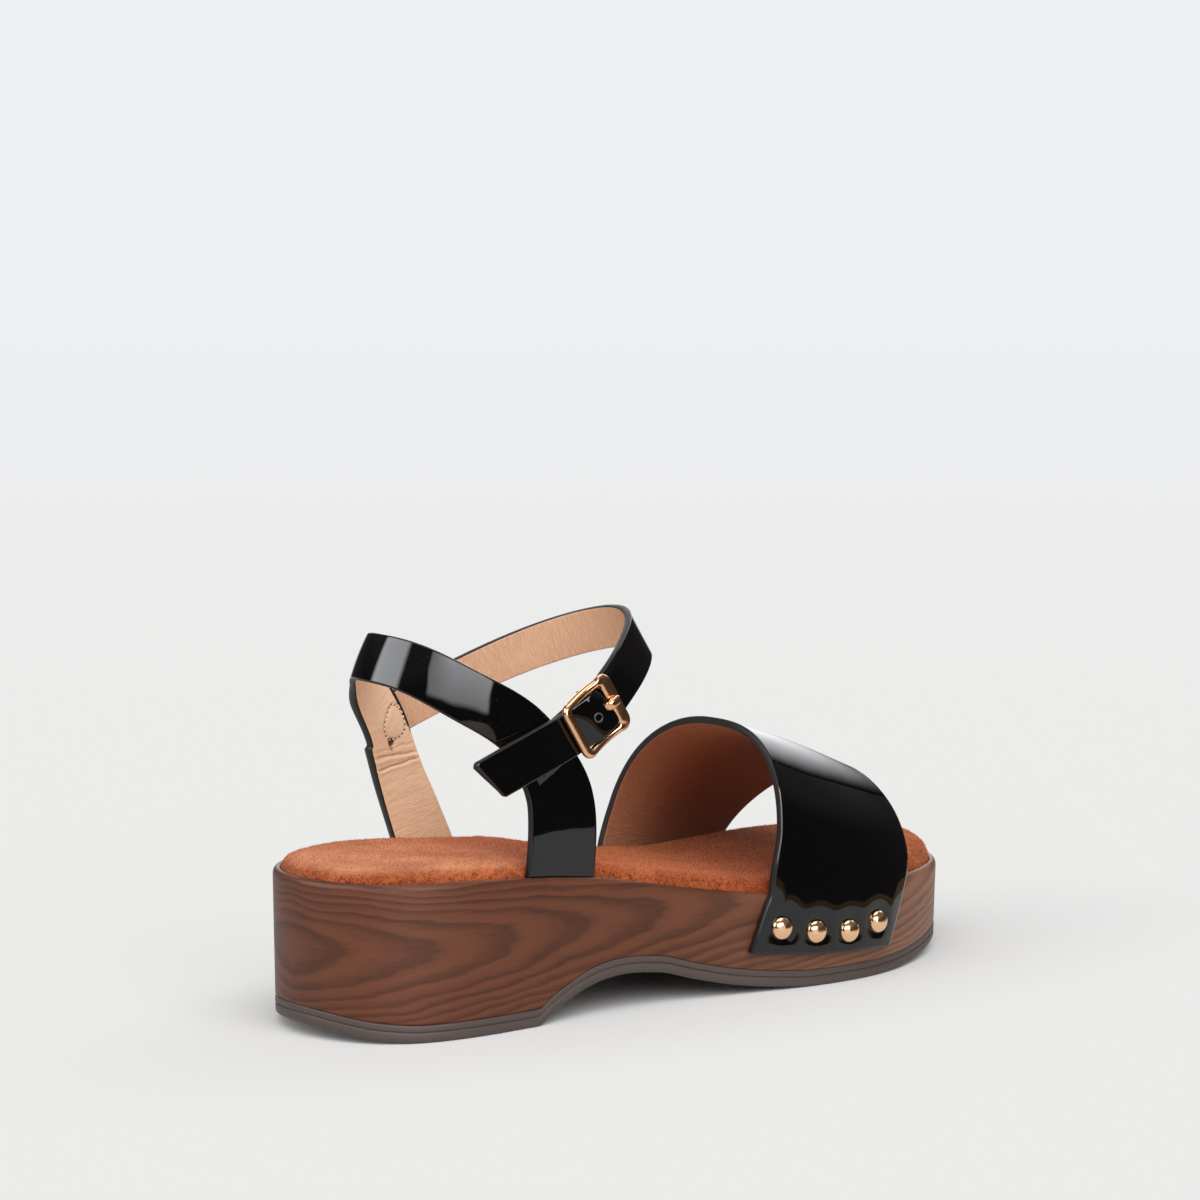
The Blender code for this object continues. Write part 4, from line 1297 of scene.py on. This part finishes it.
def turned(name, profile, sides):
    turns = np.linspace(0, 2 * math.pi, sides, endpoint=False)
    points = [(r * math.cos(t), r * math.sin(t), h) for r, h in profile for t in turns]
    last = (len(profile) - 1) * sides
    ends = [tuple(range(sides))[::-1], tuple(range(last, last + sides))]
    return pattern(name, points, ring_faces(len(profile), sides) + ends)


# %% [markdown]
# ## Studs
# Eight dome nails hold the band, four on each side. They are all alike and differ only in place and
# direction. Each one sits at the bottom of its dimple, square to the platform's wall.

# %% Studs on the band
STUD_RADIUS = 3.8
STUD_HIGH = 2.7
STUD_SINK = GAP + LEATHER + read(SWELL, 1, 0.0) - DIMPLES[1][0] + 0.15
dome_profile = [(STUD_RADIUS * 0.8, -0.5), (STUD_RADIUS * 0.97, -0.2), (STUD_RADIUS, 0.05)]
for turn in np.radians(np.linspace(8, 88, 12)):
    dome_profile.append((STUD_RADIUS * math.cos(turn), 0.05 + STUD_HIGH * math.sin(turn)))
dome = turned("dome", dome_profile, 32)
stud_spots = []
stud_outs = []
for outer_side in (True, False):
    for x, z in STUDS:
        lean = (wall_y(x + 2, outer_side) - wall_y(x - 2, outer_side)) / 4
        out = unit(np.array((lean, -1, 0) if outer_side else (-lean, 1, 0)))
        stud_spots.append(np.array((x, wall_y(x, outer_side), z)) + STUD_SINK * out)
        stud_outs.append(out)
studs = spread("studs", stud_spots, [(1, 0, 0)] * len(stud_spots), stud_outs, dome, lit_stud_metal)
stud_nodes = [f"stud_{side}_{number}" for side in ("outer", "inner") for number in range(1, 5)]
seat(studs, "metal", *stud_nodes)

# %% [markdown]
# ## Nap of the suede
# Suede is leather with its fuzzy side out: short fibres stand up everywhere, catch the light one by one
# and break the outline of the pad. Geometry Nodes scatter small pointed spikes over the top of the pad,
# each turned and leaned at random. Light and dark fibres are two scatterings with plain colours.

# %% Fibres on the insole
FIBRE_LONG = 0.5
FIBRE_WIDE = 0.17
FIBRE_ROOT = -0.1


def fibre_shape():
    """A slim closed spike: three corners at the root and one at the tip."""
    half = FIBRE_WIDE / 2
    root = [(-half, -0.6 * half, FIBRE_ROOT), (half, -0.6 * half, FIBRE_ROOT), (0, 0.9 * half, FIBRE_ROOT)]
    faces = [(0, 2, 1), (0, 1, 3), (1, 2, 3), (2, 0, 3)]
    return pattern("fibre", root + [(0, FIBRE_LONG / 4, FIBRE_LONG)], faces)


def nap_tree():
    kinds = {"Pad": "Geometry", "Fibre": "Object", "Density": "Float", "Seed": "Int", "Finish": "Material"}
    tree, pad, shape, density, seed, finish = new_tree("nap", kinds)
    values = {"Mesh": pad, "Density": density, "Seed": seed}
    points = pad.node("GeometryNodeDistributePointsOnFaces", {}, values)
    random = "FunctionNodeRandomValue"
    leans = {0: (-0.9, -0.9, -3.1), 1: (0.9, 0.9, 3.1), "Seed": seed}
    lean = seed.node(random, {"data_type": "FLOAT_VECTOR"}, leans)
    size = seed.node(random, {"data_type": "FLOAT"}, {2: 0.5, 3: 1.25, "Seed": seed}, 1)
    turns = {"Rotation": points.also("Rotation"), "Rotate By": lean}
    turn = points.node("FunctionNodeRotateRotation", {"rotation_space": "LOCAL"}, turns)
    copy_shape(points, shape, turn, finish, size)
    return tree


def top_of(made):
    """A copy of the part of a mesh that faces up, even if only a little."""
    body = bmesh.new()
    body.from_mesh(made.data)
    body.normal_update()
    under = [face for face in body.faces if face.normal.z < 0.03]
    bmesh.ops.delete(body, geom=under, context="FACES")
    mesh = bpy.data.meshes.new("pad_top")
    body.to_mesh(mesh)
    body.free()
    return mesh


def nap(name, density, seed, finish):
    guide = bpy.data.objects.new(name + "_guide", top_of(insole))
    inputs = {"Fibre": fibre, "Density": density, "Seed": seed, "Finish": finish}
    return grown(name, guide, NAP, inputs)


NAP = nap_tree()
fibre = fibre_shape()
for name, density, seed, colour in (
    ("light", 2.0e6, 3, (0.78, 0.235, 0.078, 1)),
    ("dark", 0.6e6, 8, (0.30, 0.060, 0.017, 1)),
):
    finish = new_finish(name + "_fibre", Roughness=1.0, Base_Color=colour)[0]
    seat(nap("nap_" + name, density, seed, finish), "suede", "insole")

# %% [markdown]
# ## Stitches
# Thread shows in two places: a small tan loop of stitches on the lining, where the ankle strap is sewn to
# the inner quarter, and black stitches on the buckle tab. A stitch is a short plump bead of thread that
# dips at both ends. The same tree sets one at every step along a seam. Needle holes and the free hole of
# the ankle strap are set in the same way.

# %% Threads and seams
STITCH_LONG = 1.15
STITCH_WIDE = 0.27
STITCH_DIP = 0.34
STITCH_RINGS = 9
STITCH_SIDES = 8
LINING_STEP = 1.55
TAB_STEP = 2.0
AHEAD_STEP = 0.3
# How far a stitch or a needle hole stands out of the skin, or below 0 out of the lining
LINING_LIFT = -0.24
HOLE_LIFT = -0.04
TAB_LIFT = 0.16
# Corners of the tab's seam in the buckle's plane: along, up
TAB_SEAM = ((-8.5, -5.2), (-24.6, -5.2), (-24.6, 5.2), (-8.5, 5.2))
# The free hole of the ankle strap: along, across
FREE_HOLE = (155.6, 0.34)
# Its raised rim, from outside to inside: radius, height
HOLE_RIM = (
    (1.62, -0.3), (1.58, 0.02), (1.36, 0.16), (1.12, 0.1), (0.95, -0.1), (0.85, -0.6), (0.05, -0.62),
)


def thread_finish(name, dark, light):
    material, shader, place, _ = new_finish(name, Roughness=0.7)
    twist = place.noise(2200, 2)
    feed(shader, Base_Color=twist.mix(dark, light))
    feed(shader, Normal=place.bump(twist, 0.0002, 0.5))
    return material


def stitch_shape():
    points = []
    for share in np.linspace(-1, 1, STITCH_RINGS):
        wide = STITCH_WIDE * math.sqrt(max(0.05, 1 - abs(share) ** 3))
        dip = -STITCH_DIP * abs(share) ** 2.5
        for turn in np.linspace(0, 2 * math.pi, STITCH_SIDES, endpoint=False):
            points.append((share * STITCH_LONG / 2, wide * math.cos(turn), dip + wide * math.sin(turn)))
    return pattern("stitch", points, capped(STITCH_RINGS, STITCH_SIDES))


def seam(corners, step, surface):
    """Spots, ways and outward directions every step along a run of corners on a surface."""
    corners = np.array(corners, float)
    far = travelled(corners)

    def found(places):
        flat = [np.interp(places, far, corners[:, axis]) for axis in (0, 1)]
        return [np.array(part) for part in zip(*(surface(a, c) for a, c in zip(*flat)))]

    even = np.arange(step / 2, far[-1], step)
    spots, outs = found(even)
    return spots, found(even + AHEAD_STEP)[0] - spots, outs


def on_lining(lift):
    return lambda along, across: heel.at(along, across, lift)


tan_thread = thread_finish("tan_thread", (0.84, 0.60, 0.44), (0.97, 0.82, 0.68))
black_thread = thread_finish("black_thread", (0.006, 0.006, 0.006), (0.022, 0.021, 0.020))
stitch = stitch_shape()
pin = turned("pin", [(0.24, -0.2), (0.26, 0.0), (0.12, 0.03)], 10)
loop_run = seam(sewn_loop, LINING_STEP, on_lining(LINING_LIFT))
hole_run = seam(sewn_loop[4:], LINING_STEP, on_lining(HOLE_LIFT))
tab_run = seam(TAB_SEAM, TAB_STEP, lambda a, u: (at_buckle(a, u, TAB_LIFT - pressed(u)), BUCKLE_OUT))
eyelet = turned("eyelet", HOLE_RIM, 28)
raw_rim = new_finish("raw_rim", Roughness=0.2, Base_Color=(0.05, 0.05, 0.055, 1))[0]
spot, out = ankle.at(*FREE_HOLE, 0.01)
punched = [spot], [ankle.way[0]], [out]
for name, run, shape, finish, *kind in (
    ("lining_stitches", loop_run, stitch, tan_thread, "thread"),
    ("needle_holes", hole_run, pin, black_thread, "thread"),
    ("punched_hole", punched, eyelet, raw_rim, "patent", "upper_straps"),
    ("tab_stitches", tab_run, stitch, black_thread, "thread"),
):
    seat(spread(name, *run, shape, finish), *kind)

# %% [markdown]
# ## Floor, light and camera
# The shoe stands on a pale floor in soft light from all round. Patent leather mirrors the studio, so what
# it sees matters more than the light itself: a strip of floor, a bright sweep behind, three soft boxes and
# dark beyond. Parts of the stage are hidden from mirror rays for that, and the world is dark for them.

# %% Stage
VIEW_TURN = math.radians(37.91)
AHEAD = np.array((math.sin(VIEW_TURN), math.cos(VIEW_TURN), 0.0))
RIGHT = np.array((math.cos(VIEW_TURN), -math.sin(VIEW_TURN), 0.0))
UP = np.array((0.0, 0.0, 1.0))
FLOOR_SIDE = 0.20
FLOOR_FAR = 4.0
PAPER_LONG = 0.126
PAPER_WIDE = 0.046
SKY = 0.22
WHITE = (1, 1.01, 1.03)
HEEL_STRAP_SPOT = np.array((-0.085, -0.03, 0.10))
CARD_AWAY = 1.25


def sheet(name, corners, finish):
    mesh = bpy.data.meshes.new(name)
    mesh.from_pydata([tuple(c) for c in corners], [], [(0, 1, 2, 3)])
    layer = mesh.uv_layers.new(name="sheet_map")
    layer.data.foreach_set("uv", [0, 0, 1, 0, 1, 1, 0, 1])
    mesh.materials.append(finish)
    made = placed(name, mesh)
    return made


def paper_finish():
    """Near the shoe the paper takes light and shadow; further off it glows evenly."""
    numbers = {"Roughness": 0.8, "Specular_IOR_Level": 0.0, "Emission_Strength": 1.0}
    material, shader, place, _ = new_finish("paper", **numbers)
    far = place.length().smooth(0.3, 5.0)
    oval_map = {"Vector": place, "Location": (-0.2, 0.2, 0), "Scale": (1 / PAPER_LONG, 1 / PAPER_WIDE, 1)}
    apart = place.node("Mapping", {}, oval_map).length().smooth(0.9, 2.2)
    shine = far.mix((0.565, 0.565, 0.556), (0.582, 0.590, 0.607))
    feed(shader, Base_Color=apart.mix((0.93, 0.93, 0.925), (0.32, 0.32, 0.32)))
    feed(shader, Emission_Color=apart.mix((0, 0, 0), shine))
    return material


def on_floor(name, corners, finish, rise=0.0):
    return sheet(name, [side * RIGHT + ahead * AHEAD + rise * UP for side, ahead in corners], finish)


def oblong(left, right, near, far):
    return [(left, near), (right, near), (right, far), (left, far)]


paper = paper_finish()
on_floor("floor_table", oblong(-1.2, FLOOR_SIDE, -0.9, FLOOR_FAR), paper)
wide_floor = on_floor("floor_wide", oblong(-40, 40, -40, 40), paper, -0.0004)
wide_floor.visible_glossy = False


def only_mirrors(made):
    made.visible_camera = False
    made.visible_diffuse = False
    made.visible_shadow = False
    return made


def window(place, soft):
    """1 inside 0 to 1, with soft ends."""
    return place.smooth(0, soft) * (1 - place.smooth(1 - soft, 1))


def glow(name, colour, power=1.0):
    """A surface that only shines, and the shader and map to vary it with."""
    numbers = {"Base_Color": (0, 0, 0, 1), "Emission_Color": (*colour, 1), "Emission_Strength": power}
    material, shader, _, spot = new_finish(name, **numbers)
    return material, shader, spot


def glowing(name, power, soft, lower=1.0):
    """Light with soft edges; lower is the share of the power at the bottom edge."""
    material, shader, spot = glow(name, WHITE, power)
    shader.inputs["Specular IOR Level"].default_value = 0.0
    side, rise = spot.axis(0), spot.axis(1)
    bright = window(side, soft) * window(rise, soft) * (lower + (1 - lower) * rise * side.smooth(0.05, 0.4))
    feed(shader, Emission_Color=bright.mix((0, 0, 0), WHITE))
    return material


def board(turn, height, away, wide, tall, slant=0.0, aside=0.0, flat=False):
    """Corners of a board: direction from the shoe in degrees, height, distance and size."""
    turn, slant = math.radians(turn), math.radians(slant)
    out = np.array((math.cos(turn), math.sin(turn), 0.0))
    across = np.array((-math.sin(turn), math.cos(turn), 0.0))
    middle = out * away + across * aside + UP * height
    rise_way = out if flat else UP
    wide_way = (across * math.cos(slant) + rise_way * math.sin(slant)) * wide / 2
    tall_way = (rise_way * math.cos(slant) - across * math.sin(slant)) * tall / 2
    return [middle + wide_way * a + tall_way * b for a, b in ((-1, -1), (1, -1), (1, 1), (-1, 1))]


def card(name, corners, *light):
    return only_mirrors(sheet(name, corners, glowing(name, *light)))


def aim(turn, rise):
    """A place in a direction from the heel strap, in degrees."""
    turn, rise = math.radians(turn), math.radians(rise)
    return HEEL_STRAP_SPOT + CARD_AWAY * np.array((math.cos(turn), math.sin(turn), math.tan(rise)))


card("front_card", [aim(219, 12), aim(272, -9), aim(279, 30), aim(213, 33)], 11.5, 0.06, 0.27)
card("left_card", board(163.5, 0.75, 1.15, 1.10, 1.0), 6.2, 0.18)
card("sweep", board(32, 1.21, 1.44, 3.6, 1.8, -41, 0.149), 2.6, 0.18)
card("top_card", board(230, 1.35, 0.0, 1.6, 1.6, flat=True), 2.4, 0.3)

brown = glow("brown_floor", (0.42, 0.22, 0.08))[0]
only_mirrors(on_floor("beyond_table", oblong(FLOOR_SIDE, 0.26, -0.9, 0.3), brown))
pale = glow("pale_floor", (0.82, 0.83, 0.85))[0]
only_mirrors(sheet("foot_card", board(273.5, 0.0217, 0.113, 0.07, 0.0434), pale))


def lamp(name, turn, rise, power, spread_out):
    """Soft light from one direction, unseen by mirrors."""
    sun = bpy.data.lights.new(name, "SUN")
    sun.energy = power
    sun.angle = math.radians(spread_out)
    made = placed(name, sun)
    turn, rise = math.radians(turn), math.radians(rise)
    towards = Vector((math.cos(turn) * math.cos(rise), math.sin(turn) * math.cos(rise), math.sin(rise)))
    made.rotation_euler = towards.to_track_quat("Z", "Y").to_euler()
    made.visible_glossy = False


lamp("front_light", 258, 45, 1.9, 60)
lamp("left_light", 203, 38, 1.0, 60)

world = bpy.data.worlds.new("studio")
bpy.context.scene.world = world
world.use_nodes = True
sky = Wire(world.node_tree, world.node_tree.nodes["Background"].outputs[0])
mirror_ray = sky.node("LightPath", output="Is Glossy Ray")
camera_ray = mirror_ray.also("Is Camera Ray")
shown = camera_ray.mix((SKY, SKY, SKY), (0.86, 0.868, 0.885))
upward = sky.node("TexCoord").axis(2)
room = upward.smooth(0.22, 0.45).mix((0.060, 0.052, 0.048), (0.16, 0.155, 0.155))
studio = mirror_ray.mix(shown, room)
world.node_tree.links.new(studio.socket, world.node_tree.nodes["Background"].inputs["Color"])

camera_data = bpy.data.cameras.new("camera")
camera_data.lens = 90.03
camera_data.sensor_width = 36
camera = placed("camera", camera_data)
camera.location = (-0.5865, -0.7369, 0.2057)
camera.rotation_euler = (math.radians(84.87), 0, -VIEW_TURN)
bpy.context.scene.camera = camera
bpy.context.scene.view_settings.view_transform = "Standard"
